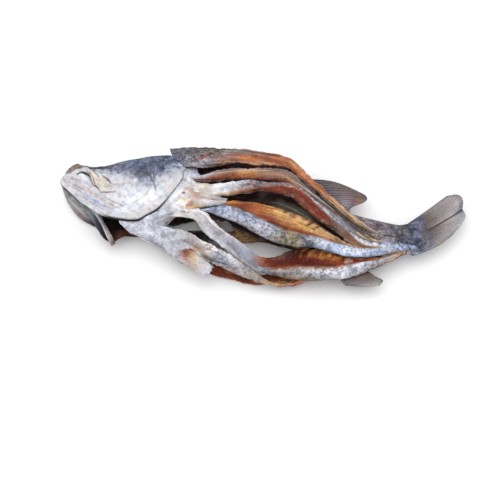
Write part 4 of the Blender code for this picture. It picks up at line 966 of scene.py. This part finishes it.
headShape = {
    "rows": 340, "sidePoints": 132, "notchPoints": 14, "rightPoints": 70, "jawSplay": 11.5,
    "jawEnd": -226, "coverTuck": 5.0, "coverMiddle": -176, "coverReach": 34,
    # x, crown, lower edge, half width of the cheek, half width at that edge, depth of the throat
    "stations": [
        (-281.5, 54, 50, 3.0, 2.5, 0.5), (-277, 60, 42, 8.0, 7.0, 3), (-271, 70, 34, 12.0, 11.5, 7),
        (-262, 77, 23, 16.0, 15.5, 11), (-249, 75.5, 8, 20.5, 19.5, 15), (-235, 74, -4, 23.5, 22.5, 19),
        (-221, 75, -15, 25.5, 23.5, 26), (-208, 79, -21, 27.0, 24.5, 34), (-194, 84, -25, 28.4, 25.0, 37),
        (-170, 89, -27, 28.9, 25.0, 31), (-156, 92, -19, 28.9, 24.8, 15), (-142, 93, -9, 28.2, 24.8, 3),
        (-130, 93, 7, 27.0, 24.6, 1), (-119, 91, 25, 26.0, 24.4, 1), (-110, 88, 42, 25.0, 23.8, 1),
        (-105, 84, 58, 23.6, 22.6, 1)],
    "darkTopLimit": (
        (-285, 92), (-250, 72), (-234, 62), (-222, 55), (-207, 50), (-190, 46), (-173, 34), (-156, 32),
        (-140, 38), (-128, 48), (-118, 55), (-100, 62)),
    "plates": (  # raised or sunk areas: outline in plan, soft edge, height in mm, colour, share
        (((-131, 112), (-124, 86), (-111, 64), (-90, 58), (-90, 112)), 3.0, -7.0, "slate", 0.4),
        (((-114, 72), (-96, 72), (-98, 34), (-108, 30)), 6.0, -1.8, "silver", 0.3),
        (((-241, 60), (-234, 54), (-226, 48), (-218, 43), (-213, 39), (-207, 32), (-203, 18),
             (-211, 17), (-222, 19), (-228, 30), (-233, 40), (-238, 50)), 2.4, 1.5, "cream", 0.45),
        (((-275, 57), (-272, 66), (-262, 82), (-243, 82), (-241, 71), (-247, 65), (-256, 61),
             (-265, 55)), 2.0, 0.9, "taupe", 0.97),
        (((-150, 51), (-154, 30), (-166, 12), (-184, 0), (-198, -6), (-206, -14), (-190, -17),
             (-168, -17), (-146, -5), (-126, 18), (-116, 42), (-124, 60)), 7.0, 1.0, "frost", 0.35)),
    "lining": (  # across from the left edge to the right one, along the first 100 mm from the snout; the soot and pitch are partly painted shade inside the throat
        (0, "taupe, .15 ash, .3 taupe, .4 umber, .5 soot, .8 soot, 1 umber"),
        (0.14, ".15 ash, .3 pebble, .4 slate, .5 soot, .8 soot, 1 umber"),
        (0.24, "tan, .15 ash, .42 ash, .5 soot"), (0.32, "silver, .2 bone, .32 bone, .42 slate, .5 soot"),
        (0.4, "ash, .2 lichen, .35 lichen, .45 ink, .5 soot"),
        (0.6, "slate, .2 lichen, .35 slate, .45 soot"), (0.78, "soot, .2 ink, .35 ink, .45 soot"),
        (1, "pitch")),
    "marks": (
        # the frost spot is the pale cheek and painted highlight, brightest in its middle; the snow spots are
        # painted highlights
        spot(-172, 8, 52, 28, "frost", 0, 0.8, core=0.1, ragged=0.15),
        spot(-160, 6, 26, 15, "snow", 15, 0.9, ragged=0.8),
        spot(-186, -8, 22, 8, "snow", -6, 0.8, ragged=0.8),
        spot(-244, 42, 16, 6, "snow", -36, 0.6, ragged=0.8),
        spot(-126, 50, 17, 17, "lavender", 20, 0.7, core=0.1, ragged=0.7),
        spot(-168, 45, 34, 10, "lavender", -8, 0.75, core=0.1, ragged=0.8),
        spot(-208, 46, 16, 9, "mist", 10, 0.6, ragged=0.8),
        spot(-128, 24, 9, 15, "pearl", -25, 0.7, core=0.1, ragged=0.15),
        spot(-188, -4, 24, 11, "lavender", 0, 0.25, core=0.1, ragged=0.15),
        spot(-262, 45, 20, 9, "blush", -35, 0.5, core=0.1, ragged=0.15),
        line(((-250, 29), (-235, 19), (-221, 8), (-204, -3), (-192, -8)), 3.4, "blush", 0.5, core=0.1),
        spot(-205, 58, 20, 7, "mauve", 4, 0.6, core=0.1, ragged=0.5),
        spot(-172, 48, 18, 7, "slate", 0, 0.5, core=0.1, ragged=0.9),
        spot(-164, 44, 10, 9, "slate", 0, 0.75, core=0.1),
        spot(-196, 64, 13, 6, "mauve", 8, 0.5, ragged=1.4),
        spot(-163, 56, 14, 9, "gloam", -6, 0.6, ragged=1.6),
        spot(-140, 66, 16, 8, "storm", -6, 0.5, ragged=1.6),
        spot(-178, 40, 5, 5, "mauve", 0, 0.6, core=0.1),
        line(((-262, 35), (-249, 21), (-234, 8), (-220, -3), (-203, -11)), 4.2, "haze", 0.45, core=0.0),
        line(((-234, 10), (-227, 4), (-219, -2)), 3.4, "haze", 0.7, core=0.0, ragged=0.8),
        line(((-256, 53), (-250, 55), (-244, 53), (-239, 47), (-235, 39)), 2.8, "soot", core=0.45,
             rise=-2.8),
        line(((-235, 40), (-232, 32), (-225, 26), (-221, 20)), 1.2, "taupe", rise=-1.3),
        line(((-244, 64), (-236, 54), (-230, 45), (-227, 38)), 1.7, "bone", 0.9, rise=1.2),
        line(((-247, 63), (-238, 52), (-232, 42), (-229, 32), (-224, 25)), 1.1, "copper", 0.85,
             rise=-1.0),
        line(((-241, 64), (-233, 55), (-228, 49), (-224, 42)), 1.2, "taupe", rise=-1.0),
        line(((-243, 51), (-237, 43), (-232, 34)), 1.3, "cream", 0.8, rise=0.6),
        line(((-220, 46), (-213, 40), (-207, 32)), 1.9, "slate", rise=-1.6),
        line(((-222, 19), (-215, 18), (-207, 18), (-200, 18)), 1.2, "pebble", rise=-1.2),
        spot(-220, 36, 9, 6, "straw", -40, 0.3, core=0.1, ragged=0.15),
        line(((-235, 60), (-226, 55), (-217, 51), (-207, 48)), 1.5, "steel", 0.7, rise=-0.6),
        line(((-279, 50), (-267, 48), (-255, 44), (-245, 39), (-239, 33), (-233, 27)), 1.6,
             "lavender", 0.6, core=0.0, rise=-0.6),
        line(((-268, 53), (-258, 51), (-248, 47)), 1.4, "bone", rise=0.6),
        line(((-276, 47), (-264, 36), (-254, 28), (-244, 18), (-232, 9), (-221, 1), (-213, -4),
             (-200, -8)), 1.8, "steel", 0.55, core=0.0, ragged=0.4, rise=-0.8),
        line(((-272, 46), (-262, 38), (-252, 31), (-240, 20)), 1.1, "clay", 0.6, rise=-0.5),
        line(((-246, 15), (-236, 6), (-226, -2), (-214, -9)), 0.9, "steel", 0.7, rise=-0.6),
        line(((-215, 10), (-204, 4), (-191, -3), (-186, -8)), 1.1, "ash", 0.8, rise=-0.8),
        line(((-209, 2), (-200, -5), (-190, -11)), 0.9, "ash", 0.6, rise=-0.5),
        line(((-214, 12), (-204, 8), (-192, 4)), 1.3, "bone", 0.7, rise=0.6),
        line(((-154, 58), (-152, 41), (-148, 30), (-145, 20)), 1.5, "slate", 0.8, rise=-1.3),
        line(((-150, 55), (-148, 39), (-145, 23)), 1.0, "slate", 0.7, rise=-0.9),
        line(((-150, 30), (-158, 14), (-172, 2), (-190, -4)), 1.4, "silver", 0.7, rise=-0.9),
        spot(-214, 68, 30, 7, "teal", 8, 0.7, core=0.1, ragged=0.8),
        line(((-239, 65), (-228, 64), (-215, 63)), 5.5, "navy", 0.95, core=0.3, ragged=0.4, rise=-1.0),
        spot(-262, 67, 13, 7, "umber", 40, 0.8, ragged=2.0),
        spot(-257, 73, 6, 4, "copper", 20, 0.6, ragged=1.6, rise=2.0),
        spot(-268, 60, 5, 3, "bone", 40, 0.5, ragged=1.6),
        spot(-254, 64, 6, 3, "soot", 10, 0.7, ragged=1.4),
        spot(-252, 71, 7, 4, "umber", 0, 0.75, ragged=1.8),
        spot(-268, 62, 5, 3, "umber", 50, 0.7, ragged=1.4))}


def makeHead(spec):
    # skull, cheeks, jaws and gill covers: rings that hang from the crown to the two lower edges.
    # side height = crown + (edge - crown) t^1.35, side width = width sin(pi min(t, .5))^.8, drawn in
    # below the cheek; between the edges the throat rises as a quarter sine
    stations = np.array(spec["stations"], float)
    body = curveThrough(stations, np.linspace(0, 1, spec["rows"]))
    x, crown, edge, width, edgeWidth, throat = (body[:, k:k + 1] for k in range(6))

    def side(t):
        y = crown + (edge - crown) * t ** 1.35
        z = width * np.sin(np.minimum(t / 0.5, 1) * np.pi / 2) ** 0.8
        return y, z - (width - edgeWidth) * np.maximum(0, (t - 0.5) / 0.5) ** 2

    def notch(t):
        return edge + throat * np.sin(t * np.pi / 2), (edgeWidth - 2) * (1 - t)

    tLeft = np.linspace(0, 1, spec["sidePoints"])[None, :] ** 1.15
    tRight = np.linspace(1, 0, spec["rightPoints"] + 1)[None, :-1]
    tNotch = np.linspace(0, 1, spec["notchPoints"])[None, :]
    splay = spec["jawSplay"] * np.clip((spec["jawEnd"] - x) / 30, 0, 1) * smoothStep(-282, -268, x) \
        - spec["coverTuck"] * np.maximum(1 - ((x - spec["coverMiddle"]) / spec["coverReach"]) ** 2, 0)
    leftY, leftZ = (np.concatenate(pair, axis=1) for pair in zip(side(tLeft), notch(tNotch)))
    rightY, rightZ = (np.concatenate(pair, axis=1) for pair in zip(notch(tNotch[:, -2::-1]), side(tRight)))
    rightY = rightY - splay * rightZ / width
    rightY, rightZ = rightY[:, :-1], rightZ[:, :-1]
    y = np.concatenate([leftY, rightY], axis=1)
    z = np.concatenate([leftZ, -rightZ], axis=1)
    grid = np.stack([np.broadcast_to(x, y.shape), y, medianHeight + z], axis=-1)
    inNotch = np.zeros(y.shape[1])
    inNotch[spec["sidePoints"]:spec["sidePoints"] + 2 * spec["notchPoints"] - 1] = 1
    edgeShare = np.concatenate([tLeft[0], np.ones(2 * spec["notchPoints"] - 1), tRight[0, :-1]])
    px, py = grid[..., 0], grid[..., 1]
    slow, fine, hue = cloud(grid, 30, 3, 3), cloud(grid, 6, 5, 3), cloud(grid, 14, 6, 2)
    bone = (hexToLinear(palette["pearl"]) + hexToLinear(palette["silver"])) * 0.5
    tint = np.broadcast_to(bone, grid.shape) * 0.98
    relief = 0.5 * slow + 0.3 * fine
    onSkin = np.broadcast_to(1 - inNotch, py.shape)
    for outline, soft, rise, colour, blend in spec["plates"]:
        mask = smoothStep(0, soft, signedInside(px, py, outline) + 0.8 * fine) * onSkin
        tint = blendIn(tint, colour, mask * blend)
        relief = relief + rise * mask
    # the crown is dark and fades down the cheek in blotches
    limit = curveThrough(np.array(spec["darkTopLimit"], float), np.linspace(0, 1, 200))
    border = np.interp(px, limit[:, 0], limit[:, 1])
    above = py - border + 5 * cloud(grid, 12, 9, 3) + 9 * cloud(grid, 4.5, 10, 2)
    above = above / np.maximum(crown - border, 12)
    dark = stopsAt("mist, .25 denim, .6 denim, .85 storm", np.clip(above, 0, 1).reshape(-1))
    share = (smoothStep(-0.25, 0.35, above) * onSkin * smoothStep(-252, -240, px))[..., None]
    tint = tint * (1 - share) + dark.reshape(tint.shape) * share
    blotch = 0.5 * cloud(grid, 7, 13, 3) + 0.5 * cloud(grid, 3.5, 14, 2)
    tint = tint * np.clip(1 + share * 2.0 * blotch[..., None] * np.array((1.0, 0.95, 0.8)), 0.3, 2)
    tint, relief = applyMarks(spec["marks"], px, py, tint, relief, 7, onSkin)
    # creases run back along the lower jaw; the pale skin is flushed pink and blue in patches
    run, rise = 0.81 * px - 0.585 * py, 0.585 * px + 0.81 * py
    creases = cloud(np.stack([run / 26, rise / 1.9, 0 * run], axis=-1), 1.0, 15, 3)
    jaw = smoothStep(-188, -216, px) * smoothStep(-86, -96, rise) * onSkin
    relief = relief + 0.75 * creases * jaw
    tint = tint * (1 + 0.22 * (creases * jaw)[..., None])
    tint = tint * (1 + (0.06 * fine + 0.05 * slow)[..., None])
    tint = tint * (1 + 0.07 * hue[..., None] * np.array((1.0, -0.2, -0.9)))
    # the rim of the gill cover is thin and a little turned in; the soot along it is painted shade, the dark
    # line where the cover's edge meets the shoulder
    rim = smoothStep(0.968, 0.992, edgeShare)[None, :] * smoothStep(-226, -205, px) * onSkin
    rim = rim * (1 - 0.7 * smoothStep(-142, -118, px))
    tint = blendIn(tint, "soot", rim)
    # inside: the right jaw shows as a pale bar beyond the dark membrane of the throat; the soot and pitch
    # deeper in are partly the membrane's own colour and partly painted shade of the cavity
    across = np.concatenate([np.ones(spec["sidePoints"] + spec["notchPoints"]), tNotch[0, -2::-1],
                             np.ones(spec["rightPoints"])])[:y.shape[1]]
    lining = field(spec["lining"], (x[:, 0] + 282) / 100, across)
    share = np.broadcast_to(inNotch[None, :, None], tint.shape)
    tint = tint * (1 - share) + lining * share
    bar = np.interp(across, (0, 0.15, 0.34, 0.4, 0.46, 0.6), (0, 1.2, 1.0, -1.6, 0, 0))
    relief = relief * (1 - inNotch) + inNotch * (bar * smoothStep(-225, -240, px) + 0.3 * fine)
    relief = relief * smoothStep(-282, -276, px)
    grid = raised(grid, relief)
    numbers = {"flesh": np.zeros(py.shape), "scales": (0.08 + 0.8 * smoothStep(-0.1, 0.3, above)) * onSkin}
    return gridObject("headAndGillCovers", grid, tint, numbers, flowOf(grid), headMaterial)


makeHead(headShape)
print("head made")


def makeRound(name, spec):
    # flattened oval rings: height above the middle = half thickness x sin(angle)^.75
    body = curveThrough(np.array(spec["stations"], float), np.linspace(0, 1, spec["rows"]))
    x, upper, lower, half, height = (body[:, k:k + 1] for k in range(5))
    angle = np.linspace(0, 2 * np.pi, spec["points"], endpoint=False)[None, :]
    spread = np.sign(np.sin(angle)) * np.abs(np.sin(angle)) ** 0.75
    y = (upper + lower) / 2 + (upper - lower) / 2 * np.cos(angle)
    grid = np.stack([np.broadcast_to(x, y.shape), y, height + half * spread], axis=-1)
    u = np.abs(np.where(angle > np.pi, 2 * np.pi - angle, angle))[0] / np.pi
    s = np.linspace(0, 1, spec["rows"])
    tint = field(spec["tints"], s, u)
    relief = 0.5 * cloud(grid, 18, spec["seed"], 3) + 0.25 * cloud(grid, 5, spec["seed"] + 1, 2)
    tint, relief = applyMarks(spec["marks"], grid[..., 0], grid[..., 1], tint, relief, spec["seed"])
    tint = tint * np.clip(1 + spec["patchy"] * cloud(grid, 7, spec["seed"] + 2, 3)[..., None], 0.3, 1.8)
    grid = raised(grid, relief)
    numbers = {"flesh": np.zeros(y.shape), "scales": field(spec["scales"], s, u)}
    return gridObject(name, grid, tint, numbers, flowOf(grid), bodyMaterial)


makeRound("shoulder", {
    "rows": 130, "points": 200, "seed": 151, "patchy": 0.1,
    "stations": [
        (-184, 60, -14, 16, 28), (-172, 80, -31, 20, 28), (-160, 86, -41, 21, 28),
        (-148, 88, -44, 21, 27), (-136, 90, -26, 20, 27), (-122, 94, -6, 19, 27), (-108, 92, 6, 16, 27)],
    "tints": (
        (0, "slate"), (0.15, "slate, 1 pebble"), (0.3, "steel, 1 lavender"), (0.45, "silver"),
        (0.6, "pearl, 1 bone"), (0.8, ".6 pearl, 1 cream"), (1, "silver, 1 pearl")),
    "scales": ((0, ".6, 1 .8"), (0.4, ".3"), (1, ".3, 1 .2")),
    "marks": (
        spot(-112, 20, 3.5, 2.5, "slate", core=0.25, ragged=0.6, rise=-0.8),
        spot(-106, 16, 12, 9, "blush", 0, 0.5, core=0.1, ragged=0.15),
        spot(-125, -18, 14, 8, "silver", 0, 0.6, core=0.1, ragged=0.15))})
makeRound("tailStem", {
    "rows": 200, "points": 230, "seed": 163, "patchy": 1.0,
    "stations": [
        (112, 6, -60, 5, 20), (130, -1, -62, 8, 23), (150, -8, -64, 10, 24), (170, -14, -63, 10.5, 24),
        (188, -17, -59, 10, 23), (204, -13, -62, 7, 22.5), (216, -5, -59, 3.8, 22),
        (228, 2, -50, 1.0, 21.8)],
    "tints": (
        (0, "pebble, .4 slate, .6 gloam, .75 gloam, 1 dusk"),
        (0.15, "ash, .4 mauve, .62 gloam, .75 dusk"),
        (0.34, "ash, .3 mauve, .5 slate, .62 pebble, .68 gloam, .85 dusk, 1 taupe"),
        (0.56, "steel, .35 pebble, .5 pebble, .6 gloam, .68 dusk, .85 dusk, 1 taupe"),
        (0.66, "steel, .35 mist, .5 slate, .6 slate, .68 gloam, .85 dusk, 1 pebble"),
        (0.73, "steel, .35 silver, .5 haze, .62 haze, .7 dusk, .85 dusk, 1 pebble"),
        (0.86, "steel, .4 silver, .57 haze, .68 steel, .85 dusk, 1 steel"),
        (0.92, ".4 clay, .57 blush, .66 mist, 1 steel"), (1, "bone, .5 pearl, 1 mist")),
    "scales": ((0, ".5"), (0.4, ".5 .6, .6 .9, 1 .6")),
    "marks": (
        line(((158, -37), (170, -39), (186, -41)), 1.2, "soot", rise=-0.8),
        spot(191, -32, 5, 12, "ink", 8, 0.7), spot(196, -17, 9, 3, "soot", -20, 0.8, ragged=0.8),
        spot(206, -30, 6, 9, "gloam", 20, 0.8, ragged=1.2),
        spot(214, -45, 8, 6, "gloam", 20, 0.7, ragged=1.2), spot(204, -54, 7, 4, "haze", 10, 0.6),
        spot(165, -22, 18, 4, "ink", -8, 0.5, ragged=1.6),
        spot(182, -26, 9, 3, "mist", 4, 0.5, ragged=1.6),
        spot(150, -18, 12, 3, "lavender", -14, 0.5, ragged=1.6))})
print("shoulder and tail stem made")


def makeBar(name, spec):
    # a round bar along a path; its width and height change along it
    s = np.linspace(0, 1, spec["rows"])
    path = curveThrough(spec["path"], s)
    width = stopsAt(spec["width"], s)[:, None, None]
    height = stopsAt(spec["height"], s)[:, None, None]
    along = unit(np.gradient(path, axis=0))
    side = unit(np.cross(along, (0, 0, 1.0)))
    up = np.cross(side, along)
    angle = np.linspace(0, 2 * np.pi, spec["points"], endpoint=False)[None, :, None]
    grid = path[:, None] + side[:, None] * width * np.cos(angle) + up[:, None] * height * np.sin(angle)
    flow = flowOf(grid)
    fibres = streaks(flow[0][:, :-1], flow[1][:, :-1], 20, 2, spec["seed"] + 1)
    relief = 0.4 * cloud(grid, 8, spec["seed"], 3) + 0.25 * fibres
    u = np.linspace(0, 1, spec["points"], endpoint=False)
    tint = field(spec["tints"], s, u) * (1 + 0.15 * cloud(grid, 6, spec["seed"] + 2, 3)[..., None])
    grid = raised(grid, relief)
    flesh = np.full(grid.shape[:2], spec["flesh"])
    return gridObject(name, grid, tint, {"flesh": flesh, "scales": flesh * 0}, flow, bodyMaterial)


makeBar("isthmus", {
    "rows": 90, "points": 40, "seed": 181, "flesh": 0.4,
    "path": ((-236, 16, 28), (-224, -4, 28), (-212, -28, 27), (-202, -47, 25)),
    "width": "5.5, .3 3.4, .5 2.6, .8 3.4", "height": "8, .35 5.5, .7 4, 1 4.5",
    "tints": (
        (0, "ash, .5 silver, .85 pearl, 1 olive"), (0.25, "slate, .5 pebble, .85 ash, 1 moss"),
        (0.5, "ash, .5 silver, .85 bone, 1 olive"), (1, "ash, .5 silver, .85 pearl, 1 olive"))})


plainFin = {"splits": (), "wave": 1.0, "contrast": 0.3}  # a fin's own values override these


def makeFin(name, spec):
    # a sheet drawn from a root line through a middle line to a tip line (a quadratic along each
    # ray), with a ridge for each ray, the web between sunk and torn back at the tip
    spec = {**plainFin, **spec}
    q, r, seed = np.linspace(0, 1, spec["across"]), np.linspace(0, 1, spec["along"]), spec["seed"]
    root, middle, tip = (curveThrough(points, q) for points in spec["lines"])
    ray = 0.5 + 0.5 * np.cos(2 * np.pi * q * spec["rays"])
    place = np.stack([q * spec["rays"], 0 * q, 0 * q], axis=-1)
    reach = 1 - spec["ragged"] * (0.5 + 0.5 * cloud(place, 1.7, seed, 3)) - spec["torn"] * (1 - ray)
    for centre, spread, depth in spec["splits"]:
        reach = reach - depth * np.exp(-((q - centre) / spread) ** 2)
    f = (r[:, None] * reach[None, :])[..., None]
    sheet = root * 2 * (f - 0.5) * (f - 1) - middle * 4 * f * (f - 1) + tip * 2 * f * (f - 0.5)
    normal = normalsOf(sheet, False)
    normal *= np.sign(normal[..., 2:].sum())
    sheet = sheet + normal * (spec["wave"] * cloud(sheet, 24, seed + 1, 2))[..., None]
    # towards the tip each ray parts in two; the sheet thins to its tip and its two side edges
    turns = q[None, :] * spec["rays"] * 2 + 0.25 * cloud(sheet, 20, seed + 5, 2)
    fine = 0.5 + 0.5 * np.cos(2 * np.pi * turns)
    ridge = ray[None, :] * (1 - r[:, None] * 0.6) + fine * r[:, None] * 0.6
    sideThin = np.sqrt(np.clip(1 - np.abs(2 * q - 1) ** 6, 0.02, 1))[None, :]
    thick = spec["thickness"] * (1 - 0.72 * r[:, None]) * sideThin
    lift = thick / 2 + spec["ridge"] * (ridge - 0.5) * (1 - 0.3 * r[:, None])
    lift = np.where((q == 0) | (q == 1), 0.15, np.maximum(lift, 0.2))
    lift = normal * lift[..., None]
    grid = np.concatenate([sheet + lift, (sheet - lift)[:, ::-1]], axis=1)
    tint = field(spec["tints"], r, q)
    tint = tint * (1 + spec["contrast"] * (ridge - 0.5) + 0.14 * cloud(sheet, 9, seed + 2, 3))[..., None]
    tint = np.concatenate([tint, tint[:, ::-1]], axis=1)
    flesh = np.full(grid.shape[:2], 1.0)
    return gridObject(name, grid, tint, {"flesh": flesh, "scales": flesh * 0}, flowOf(grid), finMaterial)


finSpecs = {
    "secondDorsalFin": {
        "lines": (
            ((63, 58.5, 23), (82, 38, 23), (98, 18, 23), (121, -7, 23)),
            ((99, 54, 26), (120, 36, 26), (124, 21, 25), (121.5, 7.5, 24)),
            ((127, 39.5, 26), (147, 29, 26), (146, 20.5, 25), (127, 13.5, 24))),
        "rays": 14, "across": 190, "along": 70, "seed": 201, "thickness": 2.4, "ridge": 0.8,
        "ragged": 0.09, "torn": 0.02, "contrast": 0.9, "wave": 0.7,
        "tints": (
            (0, "gloam, .5 pebble"), (0.25, "slate, .5 taupe, 1 pebble"),
            (0.5, "slate, .4 mauve, .7 taupe, 1 pebble"),
            (0.75, "umber, .3 lavender, .6 mauve, .8 rose, 1 ash"), (1, "umber, .4 mauve, 1 ash"))},
    "analFin": {
        "lines": (
            ((122, -82, 26), (110, -85, 25), (101, -90, 24), (96, -93, 24)),
            ((142, -88, 23), (130, -97, 22), (118, -103, 21), (106, -103, 21)),
            ((150, -94, 21), (163, -100, 20), (153, -110, 19), (112, -108, 19))),
        "rays": 9, "across": 110, "along": 56, "seed": 211, "thickness": 2.4, "ridge": 0.8,
        "ragged": 0.08, "torn": 0.04,
        "tints": (
            (0, ".55 umber, .75 taupe, 1 pebble"), (0.3, ".4 umber, .55 taupe, .75 pebble, 1 ash"),
            (0.6, ".3 umber, .5 pebble, .75 ash, 1 fog"), (1, "slate, .4 pebble, .8 slate, 1 ink"))},
    "pelvicFin": {
        "lines": (
            ((-114, -50, 33), (-116, -60, 31), (-117, -71, 27)),
            ((-86, -60, 37), (-88, -76, 34), (-94, -87, 30)),
            ((-58, -79, 32), (-58, -97, 28), (-72, -103, 26))),
        "rays": 11, "across": 150, "along": 90, "seed": 227, "thickness": 2.6, "ridge": 0.9,
        "ragged": 0.2, "torn": 0.07, "contrast": 0.45, "wave": 1.2,
        "splits": ((0.3, 0.03, 0.2), (0.66, 0.04, 0.25)),
        "tints": (
            (0, "silver, .2 clay, .34 copper, .48 bone, .6 clay, .8 bone, 1 ash"),
            (0.2, "silver, .12 ash, .24 clay, .36 rust, .5 clay, .62 bone, .8 moss, 1 pebble"),
            (0.42, "silver, .14 ash, .26 rust, .36 clay, .5 straw, .62 bone, 1 frost"),
            (0.7, "silver, .2 blush, .34 rose, .44 blush, .58 cream, .75 bone, 1 frost"),
            (1, "silver, .3 pearl, .6 blush, 1 frost"))},
    "farPelvicFin": {
        "lines": (
            ((-110, -42, 6), (-111, -52, 5), (-110, -62, 5)),
            ((-90, -48, 5), (-92, -60, 4.5), (-92, -72, 4)),
            ((-66, -64, 4), (-66, -72, 3.5), (-80, -78, 3.5))),
        "rays": 8, "across": 90, "along": 50, "seed": 229, "thickness": 2.2, "ridge": 0.5, "ragged": 0.1,
        "torn": 0.04, "wave": 0.3,
        "tints": (
            (0, "umber, .3 copper, 1 taupe"), (1, ".5 umber, 1 rust"))},
    "upperTailLobe": {
        "lines": (
            ((197, -16, 22), (198, -26, 23), (202, -38, 23.5)),
            ((232, 11, 22), (238, -1, 22.5), (240, -17, 23)),
            ((263, 36, 22), (280, 33, 22), (282, 11, 22.5))),
        "rays": 10, "across": 150, "along": 110, "seed": 233, "thickness": 3.0, "ridge": 0.9,
        "ragged": 0.03, "torn": 0.008, "contrast": 0.9, "wave": 0.5,
        "splits": ((0.0, 0.12, 0.05), (1.0, 0.1, 0.03)),
        "tints": (
            (0, "gloam, .3 dusk, .42 ash"), (0.3, "gloam, .32 dusk, .4 taupe, .6 ash, .9 fog, 1 ash"),
            (0.65, "gloam, .32 dusk, .42 taupe, .6 ash, .9 fog, 1 steel"),
            (0.92, "gloam, .3 moss, .5 ash, .8 fog, 1 slate"), (1, "ink"))},
    "lowerTailLobe": {
        "lines": (
            ((198, -32, 21.5), (197, -48, 21.5), (203, -64, 22)),
            ((238, -13, 21), (241, -30, 21.5), (235, -51, 22)),
            ((281, 13, 21), (282, -3, 21.5), (265, -27, 22))),
        "rays": 11, "across": 150, "along": 110, "seed": 239, "thickness": 2.8, "ridge": 0.8,
        "ragged": 0.03, "torn": 0.008, "contrast": 0.8, "wave": 0.5, "splits": ((1.0, 0.15, 0.05),),
        "tints": (
            (0, ".4 ink, 1 slate"), (0.12, "gloam, .3 moss, .5 taupe, .8 fog, 1 steel"),
            (0.35, "gloam, .36 dusk, .46 taupe, .6 ash, .8 fog, 1 silver"),
            (0.7, "gloam, .36 dusk, .5 ash, .8 fog, 1 silver"), (1, "dusk, .4 steel, .6 ash, 1 steel"))}}
for name, spec in finSpecs.items():
    makeFin(name, spec)
print("fins made")


def makeEye(name, spec):
    # a shrunken ball: rings of an ellipsoid, a little uneven
    v = np.linspace(0.02, np.pi - 0.02, spec["rows"])[:, None]
    w = np.linspace(0, 2 * np.pi, spec["points"], endpoint=False)[None, :]
    ball = np.stack([np.sin(v) * np.cos(w), np.sin(v) * np.sin(w), np.cos(v) + 0 * w], axis=-1)
    grid = ball * spec["size"]
    grid = grid + spec["place"] + 0.25 * cloud(grid, 3, 251, 2)[..., None] * ball
    tint = hexToLinear(palette["navy"]) * (1 + 0.5 * cloud(grid, 3, 257, 2)[..., None])
    zero = np.zeros(grid.shape[:2])
    return gridObject(name, grid, tint, {"flesh": zero, "scales": zero}, flowOf(grid), eyeMaterial)


eyeMaterial = driedFish("driedEyeJelly", dict(  # glossier than the skin, as a drying eye is
    headLook, skinRough=0.12, skinDark=rgba(0.5, 0.5, 0.55), specular=0.6))
eyeShape = {"rows": 30, "points": 48, "size": (8.5, 4.2, 2.0)}
for name, height in (("leftEye", 45.6), ("rightEye", 10.4)):
    makeEye(name, dict(eyeShape, place=(-223, 61.5, height)))
print("eyes made")

studio = {"skyStrength": 1.0, "floorReach": 6.0, "floorShade": 0.95, "floorRough": 0.9,
          "softboxPlace": (-0.5, -0.1, 1.7), "softboxSize": 2.2, "softboxPower": 13}  # metres, watts
view = {"target": (-0.030, -0.0435, 0.030), "elevation": 60, "distance": 1.53725, "lens": 85,
        "sensorWidth": 36}  # metres, degrees, mm

world = bpy.data.worlds.new("softStudio")
world.use_nodes = True
sky = world.node_tree.nodes["Background"].inputs
sky["Color"].default_value = rgba(1, 1, 1)
sky["Strength"].default_value = studio["skyStrength"]
bpy.context.scene.world = world

lamp = bpy.data.lights.new("overheadSoftbox", "AREA")
lamp.size, lamp.energy = studio["softboxSize"], studio["softboxPower"]
softbox = addToScene("overheadSoftbox", lamp)
softbox.location = studio["softboxPlace"]
aimX, aimY, aimZ = -np.array(studio["softboxPlace"])  # towards the middle of the table
softbox.rotation_euler = (math.atan2(math.hypot(aimX, aimY), -aimZ), 0, math.atan2(aimX, -aimY) + math.pi)

reach = studio["floorReach"]
floorMesh = bpy.data.meshes.new("studioFloor")
floorMesh.from_pydata([(-reach, -reach, 0), (reach, -reach, 0), (reach, reach, 0), (-reach, reach, 0)],
                      [], [(0, 1, 2, 3)])
floor = addToScene("studioFloor", floorMesh)
paper = bpy.data.materials.new("mattWhitePaper")  # matt, no visible texture
paper.use_nodes = True
paperShader = paper.node_tree.nodes["Principled BSDF"].inputs
paperShader["Base Color"].default_value = rgba(*[studio["floorShade"]] * 3)
paperShader["Roughness"].default_value = studio["floorRough"]
floorMesh.materials.append(paper)

lens = bpy.data.cameras.new("camera")
lens.lens, lens.sensor_width = view["lens"], view["sensorWidth"]
camera = addToScene("camera", lens)
elevation = math.radians(view["elevation"])
away = np.array((0, -math.cos(elevation), math.sin(elevation)))  # looks down from the belly side
camera.location = np.array(view["target"]) + view["distance"] * away
camera.rotation_euler = (math.pi / 2 - elevation, 0, 0)
bpy.context.scene.camera = camera
bpy.context.scene.view_settings.view_transform = "Standard"
print("camera and light made")
